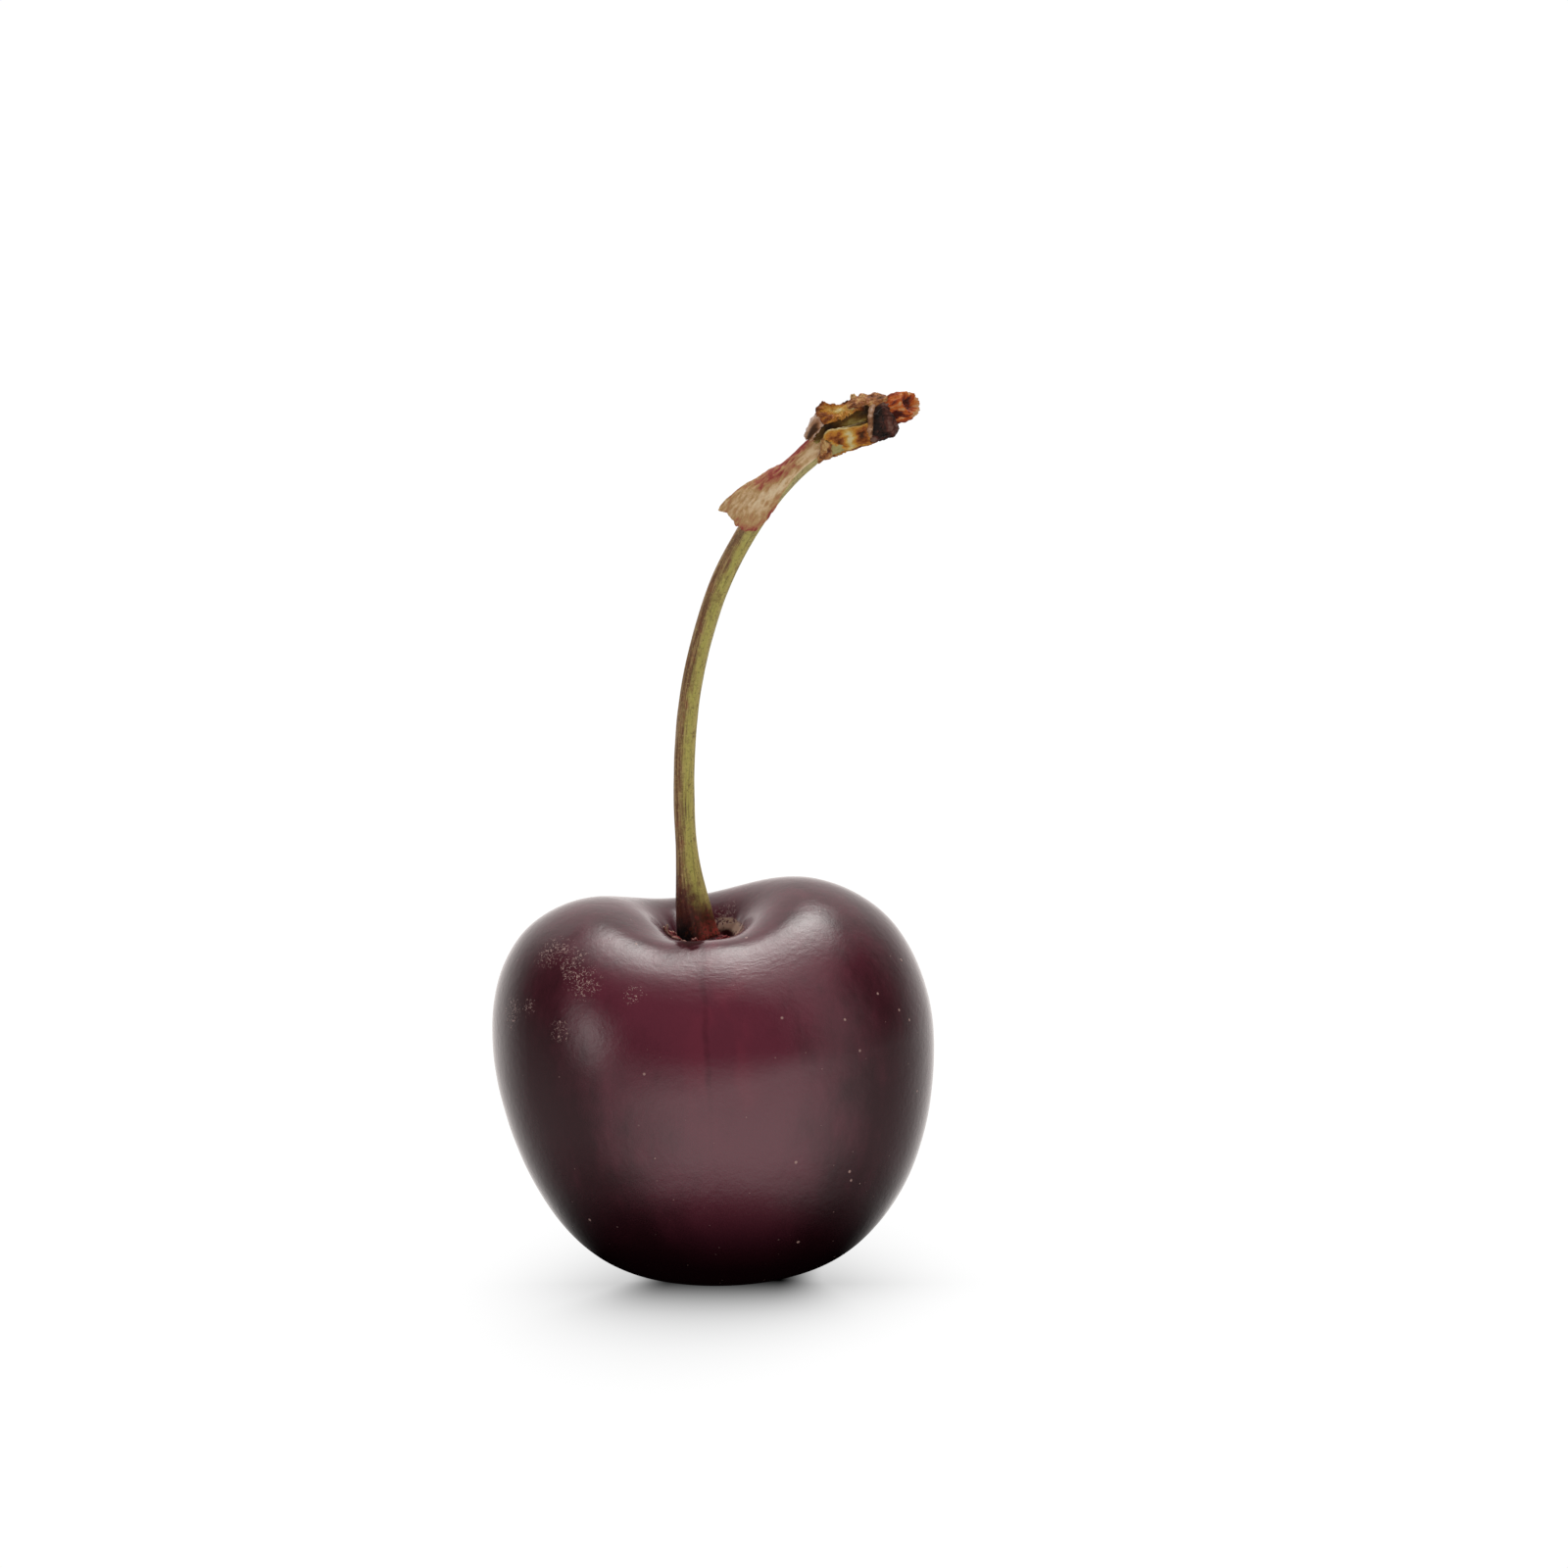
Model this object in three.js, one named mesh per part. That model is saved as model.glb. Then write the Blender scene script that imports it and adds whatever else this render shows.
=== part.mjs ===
// A dark sweet cherry as picked: the fruit standing on its small flat spot, and its stalk with a papery
// bract, the dried bud scales around the stalk's upper end and the bit of spur that tore away with it.
// Millimetres, +Z up. The origin is the centre of the flat spot, +X is the side that the stalk leans to
// and -Y is the side with the seam.

import * as THREE from "three";
import { LoftGeometry } from "three/addons/geometries/LoftGeometry.js";

// ---------------------------------------------------------------- driving dimensions

// Sizes around the fruit are given at its right (+X), back (+Y), left (-X) and front (-Y) sides. Skew adds
// to a size halfway between its front and left sides and between its back and right sides, and takes as
// much away at the other two corners.
const FLAT_RADIUS = { right: 4.1, back: 4.6, left: 5.2, front: 5.0 };
const BELLY_RADIUS = { right: 14.55, back: 12.8, left: 13.7, front: 11.8, skew: 0.25 };
const BELLY_HEIGHT = { right: 15.5, back: 14.4, left: 13.9, front: 13.7, skew: -0.85 };
const CREST_RADIUS = { right: 6.65, back: 5.35, left: 6.1, front: 5.4 };
const CREST_HEIGHT = { right: 24.65, back: 23.0, left: 23.7, front: 21.55, skew: 0.25 };
const BASE_FULLNESS = { right: 0.6, back: 0.6, left: 0.63, front: 0.44 };
const WALL_FULLNESS = { right: 0.53, back: 0.58, left: 0.34, front: 0.75 };
const SHOULDER_RISE = { right: 0.44, back: 0.56, left: 0.71, front: 0.74, skew: 0.1 };
const SHOULDER_REACH = { right: 0.66, back: 0.39, left: 0.48, front: 0.1 };
const RIM_REACH = { right: 0.65, back: 0.75, left: 0.93, front: 0.67, skew: 0.08 };
const FLOOR_REACH = { right: 0.11, back: 0.15, left: 0.11, front: 0.05 };
const SEAM_SWELL = { up: 0.55, out: 0.2, width: 0.44, angle: -84 }; // the crest's hill beside the seam
const CAVITY_LEAN = -1.5; // the cavity's centre lies this far along X from the flat spot's centre
const CAVITY_FLOOR = 20.8;
const PAD = { footRadius: 1.85, topRadius: 1.45, height: 0.3 }; // the scar that the stalk stands on
const FRUIT_ROWS = [12, 12, 10, 1]; // rows of faces on each stretch of the outline

// The line that the stalk and the spur follow, in X, Y and Z, from the stalk's foot to the torn end.
const STALK_LINE = [
  [-1.5, 0.0, 21.4],
  [-2.15, 0.1, 25.4],
  [-2.45, 0.25, 31.5],
  [-1.95, 0.3, 37.6],
  [-0.25, 0.2, 43.8],
  [2.2, 0.05, 48.4],
  [5.1, -0.1, 51.8],
  [8.8, -0.3, 54.1],
  [13.2, -0.65, 55.4],
];
const STALK_RADIUS = 0.65;
const FOOT_FLARE = { extra: 0.7, reach: 3.6 };
const NECK = { radius: 0.5, from: 32.8, to: 34.2 }; // the stalk narrows inside the scales
const STALK_LENGTH = 37.35;

// The torn ring of the flower cup that is left around the stalk's foot.
const CUP_RING = { inner: 1.5, outer: 2.05, bottom: 21.16, top: 21.7, from: 20, to: 335 };

// The bract and the scales are thin and curl around the line. Their places along it are in millimetres
// and their angles in degrees: 0 is the front, 90 the hollow side of the bend, 180 the back and -90 the
// bulging side.
const LEAF_THICKNESS = 0.18;
const BRACT = {
  from: 27.2, to: 33.9, opensBelow: 31.8, radius: 0.8,
  standingEdge: -70, wrappedEdge: -155, nearEdge: 40,
};
const SCALES = [
  { name: "upper_inner_scale", from: 34.2, to: 37.2, middle: -62, half: 52, radius: 0.72, flare: 0.16 },
  { name: "lower_inner_scale", from: 34.8, to: 37.2, middle: 58, half: 52, radius: 0.72, flare: 0.04 },
  { name: "back_inner_scale", from: 34.3, to: 37.2, middle: 180, half: 56, radius: 0.72, flare: 0.14 },
  { name: "pale_flap_scale", from: 33.4, to: 35.3, middle: -82, half: 38, radius: 1.24, flare: 0.14 },
  { name: "upper_shell_scale", from: 34.7, to: 36.7, middle: -58, half: 42, radius: 1.32, flare: 0.42 },
  { name: "ridge_scale", from: 36.1, to: 37.9, middle: -84, half: 32, radius: 1.52, flare: 0.08 },
  { name: "amber_lower_scale", from: 34.5, to: 37.3, middle: 46, half: 54, radius: 1.12, flare: 0.18 },
  { name: "curled_lower_scale", from: 33.2, to: 34.5, middle: 72, half: 44, radius: 0.94, flare: 0.2 },
  { name: "under_scale", from: 35.8, to: 37.4, middle: 112, half: 30, radius: 1.34, flare: 0.08 },
  { name: "strap_scale", from: 37.0, to: 37.6, middle: -24, half: 54, radius: 1.38, flare: 0.0 },
  { name: "back_scale", from: 33.6, to: 37.0, middle: 152, half: 28, radius: 1.08, flare: 0.25 },
  { name: "upper_back_scale", from: 33.8, to: 37.1, middle: 212, half: 26, radius: 1.08, flare: 0.3 },
];
const BARK = { from: 37.45, to: 39.1, radius: 1.3, lumps: 0.06 };
const WOOD = { from: 39.17, to: 40.45, radius: 0.95, lumps: 0.14 };

const SIDES = { fruit: 64, stalk: 12, knob: 16, leaf: 7 };

// ---------------------------------------------------------------- finishes

function finish(color, roughness) {
  return new THREE.MeshStandardMaterial({ color, roughness, metalness: 0 });
}

const SKIN = finish(0x3c1a22, 0.28);
const STALK_GREEN = finish(0x7d7a3a, 0.6);
const TORN_RED = finish(0x6e2f22, 0.75);
const PAPERY_TAN = finish(0xb08d68, 0.7);
const SCALE_OCHRE = finish(0x8a6328, 0.75);
const BARK_BROWN = finish(0x33211f, 0.8);
const WOOD_ORANGE = finish(0xa04a26, 0.8);

// ---------------------------------------------------------------- helpers

const { cos, sin, exp, sqrt, PI } = Math;
const { clamp, degToRad, euclideanModulo, lerp, smoothstep } = THREE.MathUtils;

// A value that changes smoothly all round, from its values on the four sides and its skew.
function around({ right, back, left, front, skew = 0 }, angle) {
  const mean = (right + back + left + front) / 4;
  const oval = (right + left - back - front) / 4;
  const tilt = ((right - left) / 2) * cos(angle) + ((back - front) / 2) * sin(angle);
  return mean + tilt + oval * cos(2 * angle) + skew * sin(2 * angle);
}

function steps(from, to, count) {
  return Array.from({ length: count + 1 }, (_, i) => lerp(from, to, i / count));
}

function ring(sides, point) {
  return steps(0, 2 * PI, sides).slice(0, sides).map(point);
}

function piece(name, sections, material) {
  const mesh = new THREE.Mesh(new LoftGeometry(sections, { capStart: true, capEnd: true }), material);
  mesh.name = name;
  return mesh;
}

// ---------------------------------------------------------------- the fruit

// The fruit's outline in the half plane at an angle: up from the flat spot's edge, over the shoulder and
// down to the pad in the cavity.
function outlineAt(angle) {
  const turn = euclideanModulo(angle - degToRad(SEAM_SWELL.angle) + PI, 2 * PI) - PI;
  const swell = exp(-((turn / SEAM_SWELL.width) ** 2));
  const flat = around(FLAT_RADIUS, angle);
  const belly = around(BELLY_RADIUS, angle);
  const bellyZ = around(BELLY_HEIGHT, angle);
  const crest = around(CREST_RADIUS, angle) + SEAM_SWELL.out * swell;
  const crestZ = around(CREST_HEIGHT, angle) + SEAM_SWELL.up * swell;
  const outline = new THREE.Path();
  outline.moveTo(flat, 0);
  outline.bezierCurveTo(
    lerp(flat, belly, around(BASE_FULLNESS, angle)), 0,
    belly, bellyZ * (1 - around(WALL_FULLNESS, angle)),
    belly, bellyZ,
  );
  outline.bezierCurveTo(
    belly, lerp(bellyZ, crestZ, around(SHOULDER_RISE, angle)),
    lerp(crest, belly, around(SHOULDER_REACH, angle)), crestZ,
    crest, crestZ,
  );
  outline.bezierCurveTo(
    lerp(crest, PAD.footRadius, around(RIM_REACH, angle)), crestZ,
    lerp(PAD.footRadius, crest, around(FLOOR_REACH, angle)), CAVITY_FLOOR,
    PAD.footRadius, CAVITY_FLOOR,
  );
  outline.lineTo(PAD.topRadius, CAVITY_FLOOR + PAD.height);
  return outline;
}

function makeFruit() {
  const columns = ring(SIDES.fruit, (angle) => {
    const stretches = outlineAt(angle).curves.map((curve, i) => curve.getPoints(FRUIT_ROWS[i]));
    const points = stretches.flatMap((stretch, i) => (i ? stretch.slice(1) : stretch));
    return points.map(({ x: radius, y: z }) => {
      const centre = (CAVITY_LEAN * z) / CAVITY_FLOOR;
      return new THREE.Vector3(centre + radius * cos(angle), radius * sin(angle), z);
    });
  });
  const rows = columns[0].map((_, row) => columns.map((column) => column[row]));
  return piece("fruit", rows, SKIN);
}

// ---------------------------------------------------------------- the stalk and its line

const linePoints = STALK_LINE.map((point) => new THREE.Vector3(...point));
const stalkLine = new THREE.CatmullRomCurve3(linePoints, false, "centripetal");
const lineLength = stalkLine.getLength();

// The point that lies so far along the stalk's line and so far out from it, at an angle around it.
function beside(along, radius, angle) {
  const place = along / lineLength;
  const tangent = stalkLine.getTangentAt(place);
  const front = new THREE.Vector3(0, -1, 0).projectOnPlane(tangent).normalize();
  const hollow = new THREE.Vector3().crossVectors(tangent, front);
  return stalkLine
    .getPointAt(place)
    .addScaledVector(front, radius * cos(angle))
    .addScaledVector(hollow, radius * sin(angle));
}

function stalkRadius(along) {
  const flared = STALK_RADIUS + FOOT_FLARE.extra * exp(-((along / FOOT_FLARE.reach) ** 2));
  return lerp(flared, NECK.radius, smoothstep(along, NECK.from, NECK.to));
}

function makeStalk() {
  const sections = steps(0, STALK_LENGTH, 40).map((along) =>
    ring(SIDES.stalk, (angle) => beside(along, stalkRadius(along), angle)),
  );
  return piece("stalk", sections, STALK_GREEN);
}

// The ring is torn open, so it runs from one angle to another around the cavity's centre.
function makeCupRing() {
  const { inner, outer, bottom, top, from, to } = CUP_RING;
  const sections = steps(degToRad(from), degToRad(to), 24).map((angle) => {
    const corners = [[inner, bottom], [inner, top], [outer, top], [outer, bottom]];
    return corners.map(([radius, z]) =>
      new THREE.Vector3(CAVITY_LEAN + radius * cos(angle), radius * sin(angle), z),
    );
  });
  return piece("flower_cup_ring", sections, TORN_RED);
}

// ---------------------------------------------------------------- bract and scales

// One cut across a leaf that curls around the line: its outside one way, then its inside back.
function leafSection(along, from, to, radiusAt) {
  const angles = steps(from, to, SIDES.leaf);
  const outside = angles.map((angle) => beside(along, radiusAt(angle) + LEAF_THICKNESS / 2, angle));
  const inside = angles.map((angle) => beside(along, radiusAt(angle) - LEAF_THICKNESS / 2, angle));
  return [...outside, ...inside.reverse()];
}

// The bract wraps the stalk under the scales. Further down it opens, and its free edge stands out straight
// from the stalk's front.
function makeBract() {
  const { from, to, opensBelow, radius } = BRACT;
  const standingEdge = degToRad(BRACT.standingEdge);
  const sections = steps(from, to, 16).map((along) => {
    const opening = 1 - smoothstep(along, from + 0.4, opensBelow);
    const edge = lerp(degToRad(BRACT.wrappedEdge), standingEdge, opening);
    const stretch = (angle) => lerp(1, 1 / cos(clamp(angle, standingEdge, 0)), opening);
    return leafSection(along, edge, degToRad(BRACT.nearEdge), (angle) => radius * stretch(angle));
  });
  return piece("stalk_bract", sections, PAPERY_TAN);
}

// A scale is narrow at its tip, which is its lower end, and the tip leans outwards.
function makeScale({ name, from, to, middle, half, radius, flare }) {
  const sections = steps(from, to, 6).map((along) => {
    const rise = (along - from) / (to - from);
    const halfAngle = degToRad(half) * lerp(0.45, 1, sqrt(rise));
    const out = radius + flare * (1 - rise) ** 2;
    return leafSection(along, degToRad(middle) - halfAngle, degToRad(middle) + halfAngle, () => out);
  });
  return piece(name, sections, SCALE_OCHRE);
}

// ---------------------------------------------------------------- the torn spur

function makeKnob(name, { from, to, radius, lumps }, material) {
  const sections = steps(from, to, 8).map((along) => {
    const rise = (along - from) / (to - from);
    const bulge = lerp(0.72, 1, sqrt(sin(PI * rise)));
    const lumpy = (angle) => 1 + lumps * sin(3 * angle + 5 * rise) * sin(PI * rise);
    return ring(SIDES.knob, (angle) => beside(along, radius * bulge * lumpy(angle), angle));
  });
  return piece(name, sections, material);
}

// ---------------------------------------------------------------- the cherry

export default new THREE.Group().add(
  makeFruit(),
  makeCupRing(),
  makeStalk(),
  makeBract(),
  ...SCALES.map(makeScale),
  makeKnob("spur_bark", BARK, BARK_BROWN),
  makeKnob("torn_spur_wood", WOOD, WOOD_ORANGE),
);
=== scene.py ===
"""The looks of a dark sweet cherry: its fruit, stalk, bract, bud scales and torn bit of spur, in a pale studio.

The pieces are worked out in millimetres in the part's own frame, with +Z up, +X to the side that the stalk leans
to and -Y to the side with the seam. Each one stands for the solid whose place it takes.
"""

import logging
import math
from dataclasses import dataclass, field
from enum import Enum
from itertools import product
from typing import Any

import bpy
import numpy as np
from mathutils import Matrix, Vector


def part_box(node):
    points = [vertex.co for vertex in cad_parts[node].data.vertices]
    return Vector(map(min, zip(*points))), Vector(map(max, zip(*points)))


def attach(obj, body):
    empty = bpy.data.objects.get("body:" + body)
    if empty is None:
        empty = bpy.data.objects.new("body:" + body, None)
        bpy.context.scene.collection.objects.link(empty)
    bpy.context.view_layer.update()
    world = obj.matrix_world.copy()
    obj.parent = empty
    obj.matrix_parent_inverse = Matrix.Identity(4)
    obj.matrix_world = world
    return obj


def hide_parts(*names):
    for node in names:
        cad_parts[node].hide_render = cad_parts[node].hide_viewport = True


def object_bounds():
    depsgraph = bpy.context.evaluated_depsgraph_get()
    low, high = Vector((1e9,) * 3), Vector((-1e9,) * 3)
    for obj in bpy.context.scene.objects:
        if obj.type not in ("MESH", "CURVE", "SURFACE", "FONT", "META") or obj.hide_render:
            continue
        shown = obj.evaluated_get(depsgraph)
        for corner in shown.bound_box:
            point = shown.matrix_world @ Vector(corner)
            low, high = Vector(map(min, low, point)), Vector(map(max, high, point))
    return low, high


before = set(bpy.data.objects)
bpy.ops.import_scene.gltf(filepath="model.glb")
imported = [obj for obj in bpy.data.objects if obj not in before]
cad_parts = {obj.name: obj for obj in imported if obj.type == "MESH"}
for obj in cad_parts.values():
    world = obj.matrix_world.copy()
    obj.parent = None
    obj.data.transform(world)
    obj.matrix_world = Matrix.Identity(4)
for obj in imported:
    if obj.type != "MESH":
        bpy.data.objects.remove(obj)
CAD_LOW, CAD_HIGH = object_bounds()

LOG = logging.getLogger("cherry")
MM = 0.001
Array = np.ndarray
Colour = tuple[float, float, float]
Tones = tuple[tuple[float, Colour], ...]
Span = tuple[float, float]
Net = tuple[tuple[tuple[float, float, float, float], ...], ...]


# ------------------------------------------------------------------ numbers and noise


def lerp(a: Any, b: Any, t: Any) -> Any:
    """The value that lies a share t of the way from a to b."""
    return a + (b - a) * t


def smoothstep(value: Any, low: float, high: float) -> Any:
    """0 where the value is at low, 1 where it is at high, and a smooth change between them, either way round."""
    t = np.clip((value - low) / (high - low), 0.0, 1.0)
    return t * t * (3.0 - 2.0 * t)


def bump_at(value: Any, centre: float, width: float) -> Any:
    """A smooth hill of height 1 at centre that fades over width."""
    return np.exp(-(((value - centre) / width) ** 2))


def fading(value: Any, reach: float) -> Any:
    """1 at 0, and a smooth fall to nothing over about twice the reach."""
    return bump_at(value, 0.0, reach)


def turn_between(angle: Array, middle: float) -> Array:
    """The signed turn from middle to each angle, from -pi to pi."""
    return (angle - middle + math.pi) % (2 * math.pi) - math.pi


def full_turn(count: int) -> Array:
    """Even steps of angle once round, from 0."""
    return np.linspace(0, 2 * math.pi, count, endpoint=False)


def grid_of(down: Array, across: Array) -> list[Array]:
    """Two grids, rows by columns: one of each row's value and one of each column's."""
    return np.meshgrid(down, across, indexing="ij")


def on_tube(angle: Array, radius: Any, rise: Array, middle: Any = 0.0) -> Array:
    """Points round an upright tube, whose middle lies on the X axis."""
    return np.stack([middle + radius * np.cos(angle), radius * np.sin(angle), rise], -1)


def smooth_through(knots: Array, count: int) -> Array:
    """A smooth curve through evenly spaced knots.

    Args:
        knots: The values at the knots, one knot to a row.
        count: How many samples to take, from the first knot to the last.

    Returns:
        The samples, one to a row.
    """
    padded = np.concatenate([2 * knots[:1] - knots[1:2], knots, 2 * knots[-1:] - knots[-2:-1]])
    place = np.linspace(0, len(knots) - 1, count)
    cell = np.minimum(place.astype(int), len(knots) - 2)
    t = (place - cell).reshape(-1, *[1] * (knots.ndim - 1))
    a, b, c, d = (padded[cell + i] for i in range(4))
    return b + 0.5 * t * (c - a + t * (2 * a - 5 * b + 4 * c - d + t * (3 * (b - c) + d - a)))


class Grain:
    """Smooth seeded noise in space, from about -1 to 1."""

    def __init__(self, seed: int) -> None:
        """Draws the noise's own table.

        Args:
            seed: The number that the table is drawn from.
        """
        drawn = np.random.default_rng(seed)
        self._order = np.tile(drawn.permutation(256), 3)
        slopes = drawn.normal(size=(256, 3))
        self._slopes = slopes / np.linalg.norm(slopes, axis=1, keepdims=True)

    def __call__(self, points: Array, size: float = 1.0) -> Array:
        """The noise at some points.

        Args:
            points: An array of points, with X, Y and Z last.
            size: How far apart the lumps are.

        Returns:
            One value for each point.
        """
        scaled = points / size
        cell = np.floor(scaled).astype(int)
        inside = scaled - cell
        fade = inside**3 * (inside * (inside * 6 - 15) + 10)
        total = np.zeros(points.shape[:-1])
        for corner in product((0, 1), repeat=3):
            x, y, z = np.moveaxis((cell + corner) & 255, -1, 0)
            slope = self._slopes[self._order[self._order[self._order[x] + y] + z]]
            share = np.prod(np.where(corner, fade, 1 - fade), axis=-1)
            total += ((inside - corner) * slope).sum(-1) * share
        return 1.7 * total

    def rough(self, points: Array, size: float, layers: int = 3) -> Array:
        """The noise in layers, each with lumps half as large and half as strong as the last."""
        return sum(self(points + 17.0 * i, size / 2**i) / 2**i for i in range(layers))


# ------------------------------------------------------------------ shader maths


class Value:
    """A shader socket that carries one number, whose operators add Math nodes."""

    def __init__(self, graph: "Graph", socket: bpy.types.NodeSocket) -> None:
        """Wraps a socket of a graph."""
        self.graph = graph
        self.socket = socket

    def __add__(self, other: "Number") -> "Value":
        """This value plus another."""
        return self.graph.math("ADD", self, other)

    __radd__ = __add__

    def __sub__(self, other: "Number") -> "Value":
        """This value less another."""
        return self.graph.math("SUBTRACT", self, other)

    def __rsub__(self, other: "Number") -> "Value":
        """Another value less this one."""
        return self.graph.math("SUBTRACT", other, self)

    def __mul__(self, other: "Number") -> "Value":
        """This value times another."""
        return self.graph.math("MULTIPLY", self, other)

    __rmul__ = __mul__

    def __truediv__(self, other: "Number") -> "Value":
        """This value over another."""
        return self.graph.math("DIVIDE", self, other)

    def __pow__(self, other: "Number") -> "Value":
        """This value to a power."""
        return self.graph.math("POWER", self, other)

    def __neg__(self) -> "Value":
        """This value with its sign turned."""
        return self * -1.0

    def __abs__(self) -> "Value":
        """This value without its sign."""
        return self.graph.math("ABSOLUTE", self)

    def between(self, low: "Number", high: "Number") -> "Value":
        """Turns this value into a share, with a smooth change.

        Args:
            low: Where the share is 0.
            high: Where the share is 1. It may be less than low.

        Returns:
            The share.
        """
        settings = {"interpolation_type": "SMOOTHSTEP"}
        sockets = {"Value": self, "From Min": low, "From Max": high}
        return self.graph.value("ShaderNodeMapRange", settings, sockets, "Result")


Number = Value | float


class Graph:
    """The node tree of a material or a world."""

    def __init__(self, tree: bpy.types.NodeTree) -> None:
        """Empties a node tree, to build it afresh."""
        self.tree = tree
        tree.nodes.clear()

    def node(self, kind: str, settings: dict[str, Any], sockets: dict[Any, Any]) -> bpy.types.Node:
        """Adds a node.

        Args:
            kind: The node's type.
            settings: Its own settings, which are set first. "stops" holds a colour ramp's places and colours.
            sockets: What each input holds: a Value, a socket to link, a number or a tuple.

        Returns:
            The new node.
        """
        made = self.tree.nodes.new(kind)
        for key, setting in settings.items():
            if key == "stops":
                self._set_stops(made.color_ramp, setting)
            else:
                setattr(made, key, setting)
        for key, held in sockets.items():
            held = held.socket if isinstance(held, Value) else held
            if isinstance(held, bpy.types.NodeSocket):
                self.tree.links.new(held, made.inputs[key])
            else:
                made.inputs[key].default_value = held
        return made

    @staticmethod
    def _set_stops(ramp: bpy.types.ColorRamp, stops: Tones) -> None:
        """Gives a colour ramp its stops.

        Args:
            ramp: The ramp, which starts with two stops.
            stops: The place and colour of each stop.
        """
        while len(ramp.elements) < len(stops):
            ramp.elements.new(1.0)
        for element, (place, colour) in zip(ramp.elements, stops):
            element.position = place
            element.color = (*colour, 1.0)

    def value(self, kind: str, settings: dict[str, Any], sockets: dict[Any, Any], output: Any = 0) -> Value:
        """Adds a node and returns one of its outputs as a Value."""
        return Value(self, self.node(kind, settings, sockets).outputs[output])

    def math(self, operation: str, *values: Number) -> Value:
        """Adds a Math node."""
        return self.value("ShaderNodeMath", {"operation": operation}, dict(enumerate(values)))

    def larger(self, a: Number, b: Number) -> Value:
        """The larger of two values."""
        return self.math("MAXIMUM", a, b)

    def vector(self, operation: str, *vectors: Any) -> bpy.types.NodeSocket:
        """Adds a Vector Math node and returns its vector."""
        return self.node("ShaderNodeVectorMath", {"operation": operation}, dict(enumerate(vectors))).outputs[0]

    def distance(self, a: Any, b: Any) -> Value:
        """How far apart two points are."""
        return self.value("ShaderNodeVectorMath", {"operation": "DISTANCE"}, {0: a, 1: b}, "Value")

    def join(self, x: Number, y: Number) -> bpy.types.NodeSocket:
        """A point of two values, with its Z at 0."""
        return self.node("ShaderNodeCombineXYZ", {}, {0: x, 1: y, 2: 0.0}).outputs[0]

    def split(self, vector: Any) -> tuple[Value, Value, Value]:
        """The three values of a point or direction."""
        parts = self.node("ShaderNodeSeparateXYZ", {}, {0: vector}).outputs
        return Value(self, parts[0]), Value(self, parts[1]), Value(self, parts[2])

    def place(self, stretch: tuple[float, float, float] = (1.0, 1.0, 1.0)) -> bpy.types.NodeSocket:
        """The point on the piece in millimetres, with each axis stretched."""
        held = self.node("ShaderNodeTexCoord", {}, {}).outputs["Object"]
        return self.vector("MULTIPLY", held, tuple(s / MM for s in stretch))

    def attribute(self, name: str) -> Value:
        """A number that the mesh holds at each of its points."""
        return self.value("ShaderNodeAttribute", {"attribute_name": name}, {}, "Fac")

    def attributes(self, *names: str) -> list[Value]:
        """Several numbers that the mesh holds at each of its points."""
        return [self.attribute(name) for name in names]

    def noise(self, place: Any, size: float, detail: float = 2.0, roughness: float = 0.5) -> Value:
        """Noise from 0 to 1 with lumps of a size in millimetres."""
        sockets = {"Vector": place, "Scale": 1.0 / size, "Detail": detail, "Roughness": roughness}
        return self.value("ShaderNodeTexNoise", {}, sockets)

    def mix(self, a: Any, b: Any, share: Number) -> bpy.types.NodeSocket:
        """Mixes two colours.

        Args:
            a: The colour at a share of 0, as a socket or a tuple.
            b: The colour at a share of 1.
            share: The share of the second colour.

        Returns:
            The mixed colour.
        """
        a, b = ((*c, 1.0) if isinstance(c, tuple) else c for c in (a, b))
        settings = {"data_type": "RGBA", "blend_type": "MIX", "clamp_factor": True}
        return self.node("ShaderNodeMix", settings, {0: share, 6: a, 7: b}).outputs[2]

    def paint(self, base: Any, *layers: tuple[Colour, Number]) -> Any:
        """Lays colours over a base, one after another.

        Args:
            base: The colour underneath.
            layers: Each layer's colour and its share.

        Returns:
            The colour that shows.
        """
        for colour, share in layers:
            base = self.mix(base, colour, share)
        return base

    def bump(self, height: Value, depth: float, after: Any = None) -> bpy.types.NodeSocket:
        """Adds relief.

        Args:
            height: The relief's height, from 0 to 1.
            depth: What a height of 1 stands for, in millimetres.
            after: The normal that the relief is added to, if there is one.

        Returns:
            The new normal.
        """
        sockets = {"Height": height, "Distance": depth * MM, "Strength": 1.0}
        if after is not None:
            sockets["Normal"] = after
        return self.node("ShaderNodeBump", {}, sockets).outputs[0]

    def gloss(self, sockets: dict[str, Any]) -> bpy.types.Node:
        """Adds the shader for skin, leaf and wood."""
        return self.node("ShaderNodeBsdfPrincipled", {}, sockets)

    def blend(self, share: Any, first: bpy.types.Node, second: bpy.types.Node) -> bpy.types.Node:
        """Adds a shader that goes from the first one, at a share of 0, to the second."""
        return self.node("ShaderNodeMixShader", {}, {0: share, 1: first.outputs[0], 2: second.outputs[0]})

    def surface(self, shader: bpy.types.Node) -> None:
        """Ends the tree with a shader."""
        kind = "World" if shader.bl_idname == "ShaderNodeBackground" else "Material"
        self.node("ShaderNodeOutput" + kind, {}, {"Surface": shader.outputs[0]})


def new_material(name: str) -> tuple[bpy.types.Material, Graph]:
    """Makes an empty material.

    Args:
        name: The material's name.

    Returns:
        The material and its graph.
    """
    material = bpy.data.materials.new(name)
    material.use_nodes = True
    return material, Graph(material.node_tree)


# ------------------------------------------------------------------ finishes


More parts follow.
